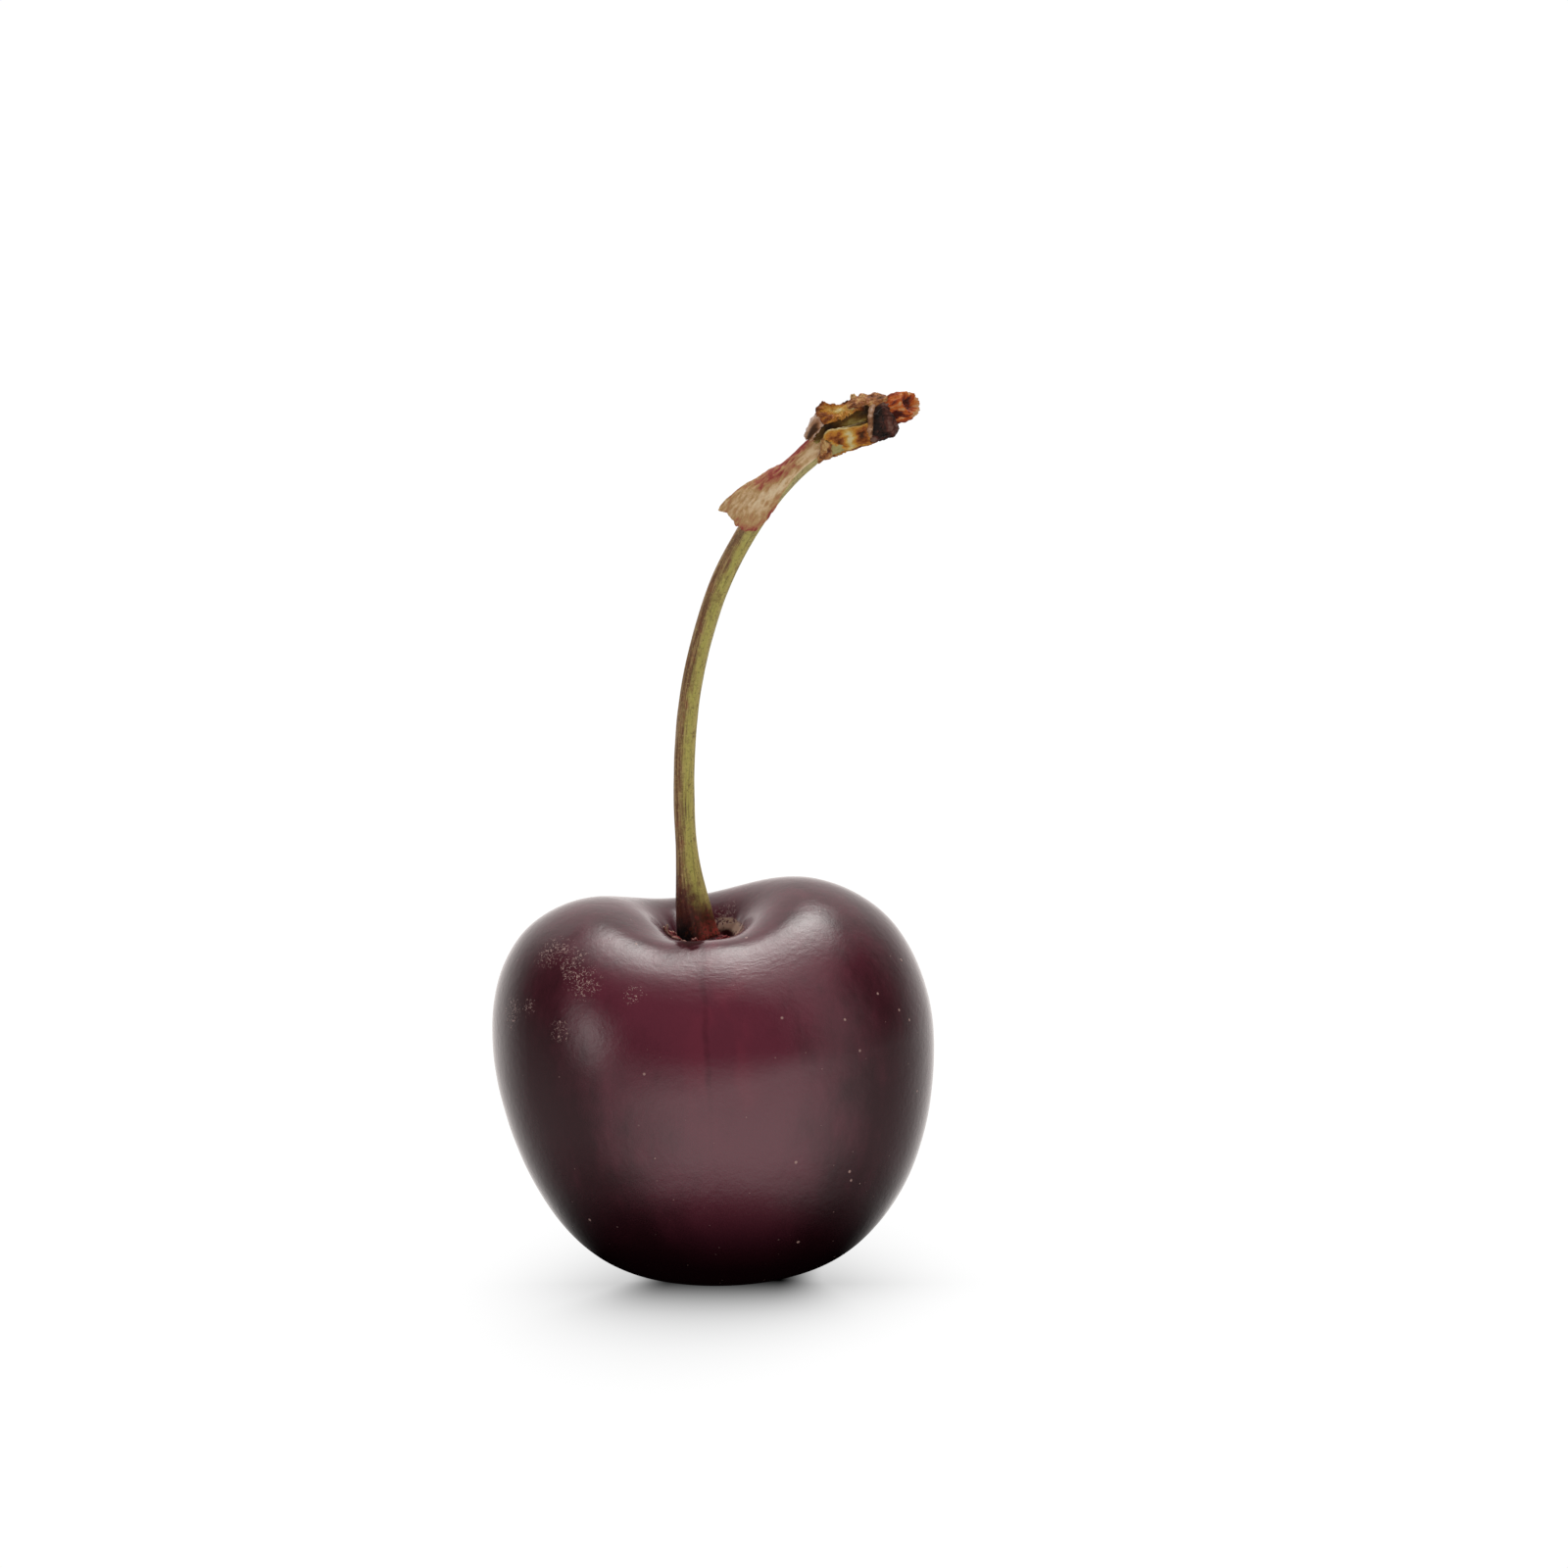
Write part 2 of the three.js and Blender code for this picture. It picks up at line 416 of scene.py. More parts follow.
@dataclass(frozen=True)
class SkinFinish:
    """Ripe cherry skin: a very dark red under a gloss, redder by the seam, with lenticels and dry specks."""

    dark: Colour = (0.055, 0.014, 0.02)
    red: Colour = (0.18, 0.036, 0.06)
    vivid: Colour = (0.27, 0.045, 0.075)
    shaded: Colour = (0.006, 0.001, 0.002)
    line: Colour = (0.03, 0.006, 0.01)
    speck: Colour = (0.6, 0.37, 0.33)
    cork: Colour = (0.68, 0.48, 0.37)
    # Painted shade round the stalk's foot.
    stain: Colour = (0.035, 0.003, 0.004)
    roughness: float = 0.1
    dull_roughness: float = 0.8
    dull_sheen: float = 0.08
    lenticel_fade: Span = (0.04, 0.12)
    lenticel_share: float = 0.8
    grain_depth: float = 0.02
    mark_depth: float = 0.012

    def make(self, lenticels: list[Array]) -> bpy.types.Material:
        """Builds the material.

        Args:
            lenticels: Where the largest pale dots lie, in millimetres.

        Returns:
            The material.
        """
        material, graph = new_material("cherry_skin")
        place = graph.place()
        line, line_share = self._seam_line(graph)
        specks = self._specks(graph, place)
        for spot in lenticels:
            dot = graph.distance(place, tuple(spot)).between(*self.lenticel_fade)
            specks = graph.larger(specks, self.lenticel_share - dot * self.lenticel_share)
        # The shade round the stalk's foot is painted: a dark colour on a dull shader in place of the gloss.
        cork, stain = self._cork(graph, place), self._foot_shade(graph, place)
        base = graph.paint(
            self._flesh(graph, place),
            (self.line, line_share),
            (self.speck, specks),
            (self.cork, cork),
            (self.stain, stain),
        )
        normal = graph.bump(graph.noise(place, size=0.5, detail=4.0, roughness=0.65), self.grain_depth)
        normal = graph.bump(self._ripple(graph), self.grain_depth, normal)
        normal = graph.bump(specks * 0.5 + cork * 2.0 - line * 0.2, self.mark_depth, normal)
        uneven = (graph.noise(place, size=1.4, detail=2.0) - 0.5) * 0.08
        skin = {
            # Painted shade: deep in the cavity the colour is taken part of the way to the seam line's near black.
            "Base Color": graph.mix(base, self.line, graph.attribute("cavity") * 0.4),
            "Roughness": self.roughness + uneven + specks * 0.3 + cork * 0.4 + stain * 0.5,
            "IOR": 1.5,
            "Normal": normal,
        }
        dull = {
            "Base Color": base,
            "Roughness": self.dull_roughness,
            "IOR": 1.45,
            "Specular IOR Level": self.dull_sheen,
            "Normal": normal,
        }
        share = graph.larger(stain.between(0.1, 0.7), cork * 0.6)
        graph.surface(graph.blend(share, graph.gloss(skin), graph.gloss(dull)))
        return material

    def _flesh(self, graph: Graph, place: Any) -> Any:
        """The red that shows through the skin, brightest beside the seam, with painted shade that takes it nearly to
        black at the base.

        Args:
            graph: The skin's graph.
            place: The point on the fruit.

        Returns:
            The colour.
        """
        off_seam, height, down = graph.attributes("off_seam", "height", "down")
        blotch = graph.noise(place, size=5.0, detail=3.0)
        spots = graph.noise(graph.place((1.0, 1.0, 0.6)), size=1.5, detail=4.0, roughness=0.6)
        streaks = graph.noise(graph.place((1.0, 1.0, 0.07)), size=0.55, detail=3.0, roughness=0.6)
        reach = 4.0 + height * 0.75
        redness = (1.0 - off_seam.between(0.0, reach)) * (0.55 + down.between(0.5, 4.0) * 0.45)
        redness = redness + (blotch - 0.5) * 0.7 + (spots - 0.5) * 0.75 + (streaks - 0.5) * 0.25
        flesh = graph.mix(self.dark, self.red, redness.between(-0.05, 0.95))
        near = 1.0 - off_seam.between(0.5, 4.0)
        bright = graph.noise(graph.place((1.0, 1.0, 0.35)), size=1.8, detail=2.0).between(0.45, 0.65) * near
        flesh = graph.mix(flesh, self.vivid, bright * height.between(9.0, 14.0) * 0.4)
        # Painted shade: the colour goes nearly black towards the base, where little light reaches under the fruit.
        return graph.mix(self.shaded, flesh, height.between(1.5, 10.0))

    @staticmethod
    def _seam_line(graph: Graph) -> tuple[Value, Value]:
        """The thin wandering line along the seam.

        Args:
            graph: The skin's graph.

        Returns:
            Where the line runs, from 0 to 1, and how much of its colour shows.
        """
        seam, off_seam, height = graph.attributes("seam", "off_seam", "height")
        upright = graph.place((0.0, 0.0, 1.0))
        wander = (graph.noise(upright, size=3.0, detail=3.0) - 0.5) * 1.2
        line = off_seam.between(4.0, 2.0) * (1.0 - abs(seam - 0.3 + wander).between(0.04, 0.3))
        broken = graph.noise(upright, size=1.1, detail=2.0).between(0.35, 0.6)
        return line, line * (0.06 + height.between(11.0, 15.0) * 0.2) * (0.4 + broken * 0.6)

    def _specks(self, graph: Graph, place: Any) -> Value:
        """Lone pale lenticels and pores all over, and fine curled specks where the skin was rubbed.

        Args:
            graph: The skin's graph.
            place: The point on the fruit.

        Returns:
            How much of the specks' colour shows.
        """
        away, pick = self._cells(graph, place, 0.62)
        reach = 0.04 + pick.between(0.35, 0.9) * 0.04
        lone = (1.0 - away.between(reach * 0.5, reach)) * pick.between(0.25, 0.35)
        away, pick = self._cells(graph, place, 1.1)
        pores = (1.0 - away.between(0.03, 0.07)) * pick.between(0.4, 0.6) * 0.35
        patch = graph.attribute("rubbed")
        curls = 1.0 - abs(graph.noise(place, size=0.24, detail=2.0, roughness=0.6) - 0.5).between(0.008, 0.032)
        where = graph.noise(place, size=0.2, detail=3.0, roughness=0.7) + patch * 0.16
        dry = curls * where.between(0.56, 0.66) * patch.between(0.02, 0.25)
        return lone * 0.85 + pores + dry

    @staticmethod
    def _cells(graph: Graph, place: Any, scale: float) -> tuple[Value, Value]:
        """Scattered dots.

        Args:
            graph: The skin's graph.
            place: The point on the fruit.
            scale: How many dots there are to a millimetre.

        Returns:
            The distance to the nearest dot, and a number of its own for each dot.
        """
        cells = graph.node("ShaderNodeTexVoronoi", {"feature": "F1"}, {"Vector": place, "Scale": scale})
        pick = graph.value("ShaderNodeSeparateColor", {}, {0: cells.outputs["Color"]})
        return Value(graph, cells.outputs["Distance"]), pick

    @staticmethod
    def _cork(graph: Graph, place: Any) -> Value:
        """The crumbly corky patch behind the stalk's foot.

        Args:
            graph: The skin's graph.
            place: The point on the fruit.

        Returns:
            How much of it shows, from 0 to 1.
        """
        patch = graph.attribute("cork")
        crumbs = graph.noise(place, size=0.3, detail=3.0, roughness=0.65) + patch * 0.25
        return patch.between(0.02, 0.3) * crumbs.between(0.44, 0.62)

    @staticmethod
    def _foot_shade(graph: Graph, place: Any) -> Value:
        """The ragged painted shade round the stalk's foot, from 0 to 1: a pit's shade, and the stalk's shadow and dark
        reflection down the lip.
        """
        ragged = (graph.noise(place, size=0.5, detail=4.0, roughness=0.6) - 0.5) * 0.9
        return (graph.attribute("stain") + ragged).between(0.12, 0.85)

    @staticmethod
    def _ripple(graph: Graph) -> Value:
        """The height of the fine ripples that run along the cavity's front lip."""
        seam, down, strength = graph.attributes("seam", "down", "ripple")
        return graph.noise(graph.join(seam * 0.4, down * 1.9), size=0.55, detail=3.0, roughness=0.6) * strength


@dataclass(frozen=True)
class StalkFinish:
    """A fresh stalk: yellow green on its hollow side, brown on the other, red at its foot, with long fibres."""

    green: Colour = (0.6, 0.53, 0.12)
    bright: Colour = (0.78, 0.64, 0.22)
    brown: Colour = (0.26, 0.12, 0.045)
    streak: Colour = (0.56, 0.35, 0.15)
    dark: Colour = (0.1, 0.035, 0.015)
    russet: Colour = (0.34, 0.09, 0.035)
    pale: Colour = (0.75, 0.66, 0.34)
    maroon: Colour = (0.1, 0.008, 0.005)
    foot_orange: Colour = (0.5, 0.06, 0.045)
    # Painted shadow low on the stalk's foot.
    foot_shadow: Colour = (0.004, 0.001, 0.001)
    roughness: float = 0.48
    depth: float = 0.04

    def make(self) -> bpy.types.Material:
        """Builds the material.

        Returns:
            The material.
        """
        material, graph = new_material("stalk_skin")
        place = graph.place()
        along, side, fibre, turn = graph.attributes("along", "side", "fibre", "turn")
        mottle = graph.noise(place, size=1.1, detail=4.0)
        thread = graph.noise(graph.join(turn * 2.4, along * 0.11), size=0.35, detail=4.0, roughness=0.6)
        patches = graph.noise(graph.join(turn * 0.65, along * 0.35), size=0.4, detail=3.0, roughness=0.6)
        green = side + (mottle - 0.5) * 0.7 + (thread - 0.5) * 0.8 + (patches - 0.5) * 1.1
        base = graph.paint(
            graph.mix(self.brown, self.streak, thread.between(0.44, 0.6)),
            (self.green, green.between(-0.5, 0.25)),
            (self.bright, side.between(0.35, 0.85) * 0.7),
            (self.streak, side.between(-0.75, -1.0) * 0.7),
            (self.dark, (fibre.between(0.6, 0.9) + thread.between(0.44, 0.34)) * 0.42),
            (self.brown, patches.between(0.52, 0.66) * 0.55),
            (self.pale, along.between(25.0, 31.0) * 0.6),
        )
        base = self._foot(graph, base, mottle, patches)
        dots = graph.noise(place, size=0.16, detail=3.0, roughness=0.65)
        rust = graph.noise(graph.place((1.0, 1.0, 0.5)), size=0.5, detail=4.0, roughness=0.7).between(0.52, 0.66)
        base = graph.paint(
            base,
            (self.dark, dots.between(0.54, 0.68) * 0.5),
            (self.bright, dots.between(0.44, 0.32) * 0.5 * along.between(1.2, 4.5)),
            (self.russet, rust * side.between(0.5, -0.4) * 0.45),
        )
        height = fibre * 0.5 + thread * 0.7 + patches * 0.4 + graph.noise(place, size=0.12, detail=3.0) * 0.4
        sockets = {
            "Base Color": base,
            "Roughness": self.roughness + (mottle - 0.5) * 0.2,
            "IOR": 1.45,
            "Normal": graph.bump(height, self.depth),
        }
        graph.surface(graph.gloss(sockets))
        return material

    def _foot(self, graph: Graph, base: Any, mottle: Value, patches: Value) -> Any:
        """Lays the foot's maroon, its orange crumbs and a painted shadow on the side away from its hollow over the
        stalk's colour.

        Args:
            graph: The stalk's graph.
            base: The stalk's colour.
            mottle: Soft noise all over the stalk.
            patches: Long patches of noise.

        Returns:
            The colour that shows.
        """
        along, side = graph.attributes("along", "side")
        ragged = patches - 0.5
        maroon = 1.0 - (along + side * 1.1 + (mottle - 0.5) * 1.6 + ragged * 2.6).between(2.1, 3.8)
        toe = (1.0 - (along + ragged * 1.6).between(0.2, 1.3)) * side.between(-0.2, 0.5)
        # Painted shadow: near black low on the foot, on the side away from the hollow.
        foot_shadow = (1.0 - (along + ragged * 1.4).between(0.7, 1.9)) * side.between(0.15, -0.45)
        crumbs = graph.noise(graph.place(), size=0.22, detail=3.0, roughness=0.65)
        lone = crumbs.between(0.52, 0.64) * (1.0 - along.between(0.8, 3.2)) * side.between(-0.7, 0.1)
        return graph.paint(
            base,
            (self.maroon, maroon * 0.95),
            (self.foot_orange, toe * crumbs.between(0.4, 0.56) * 0.9),
            (self.foot_shadow, foot_shadow),
            (self.foot_orange, lone * 0.5),
        )


@dataclass(frozen=True)
class TornFinish:
    """A dried or torn plant part. Its colours run from the palest tone to the deepest, broken up by grain.

    Attributes:
        name: The material's name.
        tones: The place of each colour from palest to deepest, and the colour.
        grain: The size of the flecks, in millimetres.
        scatter: How far the grain shifts the tone.
        roughness: How dull the surface is.
        relief: How deep the grain and fibres are, in millimetres.
        glow: How much of its colour it gives off as painted light, a glow that brightens it beyond what the lamps
            give, as light passing through thin dry leaf would.
    """

    name: str
    tones: Tones
    grain: float = 0.35
    scatter: float = 0.35
    roughness: float = 0.6
    relief: float = 0.04
    glow: float = 0.0

    def make(self) -> bpy.types.Material:
        """Builds the material.

        Returns:
            The material.
        """
        material, graph = new_material(self.name)
        place = graph.place()
        tone, fibre = graph.attributes("tone", "fibre")
        blotch = graph.noise(place, size=self.grain * 2.0, detail=4.0, roughness=0.6)
        fine = graph.noise(place, size=self.grain * 0.3, detail=3.0)
        flecks = (blotch - 0.5) * self.scatter * 1.6 + (fine - 0.5) * self.scatter * 0.7
        share = tone + flecks + (fibre - 0.5) * 0.25
        colour = graph.node("ShaderNodeValToRGB", {"stops": self.tones}, {0: share}).outputs[0]
        sockets = {
            "Base Color": colour,
            "Roughness": self.roughness + (fine - 0.5) * 0.25,
            "IOR": 1.45,
            "Specular IOR Level": 0.2,
            # Painted light: the piece glows with its own colour.
            "Emission Color": colour,
            "Emission Strength": self.glow,
            "Normal": graph.bump(blotch * 0.4 + fine * 0.35 + fibre * 0.5, self.relief),
        }
        graph.surface(graph.gloss(sockets))
        return material


TORN_CUP = TornFinish(
    name="torn_cup",
    tones=(
        (0.0, (0.55, 0.4, 0.27)),
        (0.3, (0.6, 0.31, 0.27)),
        (0.55, (0.4, 0.05, 0.055)),
        (1.0, (0.05, 0.005, 0.005)),
    ),
    grain=0.22,
)
PAPERY_LEAF = TornFinish(
    name="papery_leaf",
    tones=(
        (0.0, (0.86, 0.66, 0.42)),
        (0.2, (0.74, 0.5, 0.28)),
        (0.4, (0.56, 0.34, 0.15)),
        (0.6, (0.5, 0.22, 0.11)),
        (0.8, (0.42, 0.11, 0.075)),
        (1.0, (0.3, 0.045, 0.038)),
    ),
    grain=0.24,
    scatter=0.5,
    roughness=0.55,
    relief=0.04,
    glow=0.12,
)
SPUR_BARK = TornFinish(
    name="spur_bark",
    tones=(
        (0.0, (0.3, 0.18, 0.14)),
        (0.35, (0.15, 0.045, 0.032)),
        (0.65, (0.04, 0.02, 0.015)),
        (1.0, (0.008, 0.007, 0.006)),
    ),
    grain=0.25,
    scatter=0.45,
    roughness=0.55,
    relief=0.08,
)
TORN_WOOD = TornFinish(
    name="torn_wood",
    tones=(
        (0.0, (0.76, 0.42, 0.2)),
        (0.2, (0.72, 0.2, 0.04)),
        (0.5, (0.5, 0.08, 0.015)),
        (0.8, (0.17, 0.035, 0.02)),
        (1.0, (0.08, 0.012, 0.006)),
    ),
    grain=0.25,
    scatter=0.35,
    roughness=0.5,
    relief=0.08,
    glow=0.06,
)


class ScaleLook(Enum):
    """The looks that a dried bud scale has, each with its finish."""

    OCHRE = TornFinish(
        name="ochre_scale",
        tones=(
            (0.0, (0.8, 0.68, 0.38)),
            (0.14, (0.76, 0.55, 0.18)),
            (0.3, (0.7, 0.38, 0.075)),
            (0.5, (0.62, 0.25, 0.035)),
            (0.7, (0.38, 0.12, 0.03)),
            (0.85, (0.22, 0.055, 0.012)),
            (1.0, (0.07, 0.024, 0.007)),
        ),
        grain=0.22,
        scatter=0.6,
        roughness=0.5,
        relief=0.05,
        glow=0.08,
    )
    OLIVE = TornFinish(
        name="olive_scale",
        tones=(
            (0.0, (0.66, 0.58, 0.24)),
            (0.2, (0.42, 0.33, 0.09)),
            (0.5, (0.19, 0.1, 0.02)),
            (1.0, (0.03, 0.013, 0.004)),
        ),
        grain=0.3,
        scatter=0.4,
        roughness=0.5,
        relief=0.04,
    )
    PALE = TornFinish(
        name="pale_scale",
        tones=(
            (0.0, (0.85, 0.66, 0.56)),
            (0.35, (0.66, 0.4, 0.25)),
            (0.65, (0.42, 0.19, 0.09)),
            (1.0, (0.08, 0.034, 0.014)),
        ),
        grain=0.2,
        scatter=0.4,
        roughness=0.5,
        relief=0.04,
        glow=0.08,
    )
    CURLED = TornFinish(
        name="curled_scale",
        tones=(
            (0.0, (0.85, 0.6, 0.28)),
            (0.25, (0.68, 0.38, 0.14)),
            (0.55, (0.46, 0.17, 0.06)),
            (1.0, (0.12, 0.03, 0.01)),
        ),
        grain=0.13,
        scatter=1.15,
        roughness=0.5,
        relief=0.06,
        glow=0.08,
    )


class Slot(Enum):
    """The record's material slots."""

    SKIN = "skin"
    STALK = "stalk"
    TORN_RED = "torn_red"
    PAPERY = "papery"
    SCALE = "scale"
    BARK = "bark"
    TORN_WOOD = "torn_wood"


# ------------------------------------------------------------------ meshes


@dataclass
class Sheet:
    """A grid of points in millimetres, rows by columns, with a number at each point under each name."""

    points: Array
    marks: dict[str, Array] = field(default_factory=dict)
    closed: bool = True

    def faces(self, start: int = 0, flip: bool = False) -> list[tuple[int, ...]]:
        """The grid's four-sided faces.

        Args:
            start: The number of the grid's first point.
            flip: Whether the faces look the other way.

        Returns:
            Each face's point numbers.
        """
        rows, columns = self.points.shape[:2]
        found = []
        for row in range(rows - 1):
            for column in range(columns if self.closed else columns - 1):
                here, after = start + row * columns + column, start + row * columns + (column + 1) % columns
                face = (here, after, after + columns, here + columns)
                found.append(face[::-1] if flip else face)
        return found

    def normals(self) -> Array:
        """The unit normal at each point.

        Returns:
            The normals, in the grid's shape.
        """
        if self.closed:
            padded = np.concatenate([self.points[:, -1:], self.points, self.points[:, :1]], axis=1)
            across = (padded[:, 2:] - padded[:, :-2]) / 2
        else:
            across = np.gradient(self.points, axis=1)
        normal = np.cross(across, np.gradient(self.points, axis=0))
        return normal / np.maximum(np.linalg.norm(normal, axis=-1, keepdims=True), 1e-9)


def new_object(name: str, points: Array, faces: list[tuple[int, ...]], marks: dict[str, Array]) -> bpy.types.Object:
    """Makes a smooth mesh object.

    Args:
        name: The piece's name.
        points: Its points in millimetres, one to a row.
        faces: Its faces.
        marks: A number at each point under each name.

    Returns:
        The new object.
    """
    mesh = bpy.data.meshes.new(name)
    mesh.from_pydata((points * MM).tolist(), [], faces)
    mesh.shade_smooth()
    for key, numbers in marks.items():
        mesh.attributes.new(key, "FLOAT", "POINT").data.foreach_set("value", numbers.ravel().astype(np.float32))
    mesh.validate()
    made = bpy.data.objects.new(name, mesh)
    bpy.context.scene.collection.objects.link(made)
    return made


def solid_of(name: str, sheet: Sheet) -> bpy.types.Object:
    """Makes a closed piece of a sheet that goes all round: each end is closed to a point at its middle.

    Args:
        name: The piece's name.
        sheet: Its outside.

    Returns:
        The new object.
    """
    rows, columns = sheet.points.shape[:2]
    ends = [sheet.points[0].mean(0), sheet.points[-1].mean(0)]
    points = np.concatenate([sheet.points.reshape(-1, 3), ends])
    marks = {
        key: np.concatenate([numbers.ravel(), [numbers[0].mean(), numbers[-1].mean()]])
        for key, numbers in sheet.marks.items()
    }
    bottom, top, last = rows * columns, rows * columns + 1, (rows - 1) * columns
    faces = sheet.faces()
    for column in range(columns):
        after = (column + 1) % columns
        faces += [(after, column, bottom), (last + column, last + after, top)]
    return new_object(name, points, faces, marks)


def shell_of(name: str, sheet: Sheet, thickness: Array) -> bpy.types.Object:
    """Makes a closed thin piece of an open sheet.

    Args:
        name: The piece's name.
        sheet: The sheet half way through its thickness.
        thickness: Its thickness at each point, in millimetres.

    Returns:
        The new object.
    """
    rows, columns = sheet.points.shape[:2]
    offset = sheet.normals() * thickness[..., None] / 2
    count = rows * columns
    points = np.concatenate([(sheet.points + offset).reshape(-1, 3), (sheet.points - offset).reshape(-1, 3)])
    marks = {key: np.tile(numbers.ravel(), 2) for key, numbers in sheet.marks.items()}
    faces = sheet.faces() + sheet.faces(count, flip=True)
    rim = [(0, c) for c in range(columns)] + [(r, columns - 1) for r in range(1, rows)]
    rim += [(rows - 1, c) for c in range(columns - 2, -1, -1)] + [(r, 0) for r in range(rows - 2, 0, -1)]
    for (row, column), (next_row, next_column) in zip(rim, rim[1:] + rim[:1]):
        here, after = row * columns + column, next_row * columns + next_column
        faces.append((after, here, here + count, after + count))
    return new_object(name, points, faces, marks)


def dress(piece: bpy.types.Object, node: str, slot: Slot, material: bpy.types.Material) -> bpy.types.Object:
    """Gives a piece its finish and has it stand for its solid. Only the fruit shows in the fruit's gloss.

    Args:
        piece: The piece.
        node: The solid that it stands for.
        slot: The record's slot for its finish. It is not used.
        material: Its finish.

    Returns:
        The same piece.
    """
    piece.data.materials.append(material)
    piece.visible_glossy = node == "fruit"
    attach(piece, "root")
    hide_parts(node)
    return piece


def box_mm(node: str) -> tuple[Array, Array]:
    """The lowest and highest corner of a solid, in millimetres."""
    low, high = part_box(node)
    return np.array(low) / MM, np.array(high) / MM


# ------------------------------------------------------------------ the fruit


@dataclass(frozen=True)
class Sides:
    """A size that changes smoothly round the fruit, from its values at the right, back, left and front.

    The skew adds to it between the front and the left and between the back and the right, and takes as much
    away at the other two corners.
    """

    right: float
    back: float
    left: float
    front: float
    skew: float = 0.0

    def at(self, angle: Array) -> Array:
        """The size in some directions.

        Args:
            angle: The directions, from 0 at the right towards the back.

        Returns:
            The size in each direction.
        """
        mean = (self.right + self.back + self.left + self.front) / 4
        oval = (self.right + self.left - self.back - self.front) / 4
        tilt = (self.right - self.left) / 2 * np.cos(angle) + (self.back - self.front) / 2 * np.sin(angle)
        return mean + tilt + oval * np.cos(2 * angle) + self.skew * np.sin(2 * angle)


@dataclass(frozen=True)
class Spot:
    """A soft spot on the cavity's wall: its turn from the seam, its height, and how far it spreads each way."""

    turn: float
    height: float
    turn_spread: float
    height_spread: float

    def at(self, turn: Array, height: Array) -> Array:
        """How strong the spot is at each point, from 0 to 1."""
        beside = fading(turn_between(turn, self.turn), self.turn_spread)
        return beside * bump_at(height, self.height, self.height_spread)


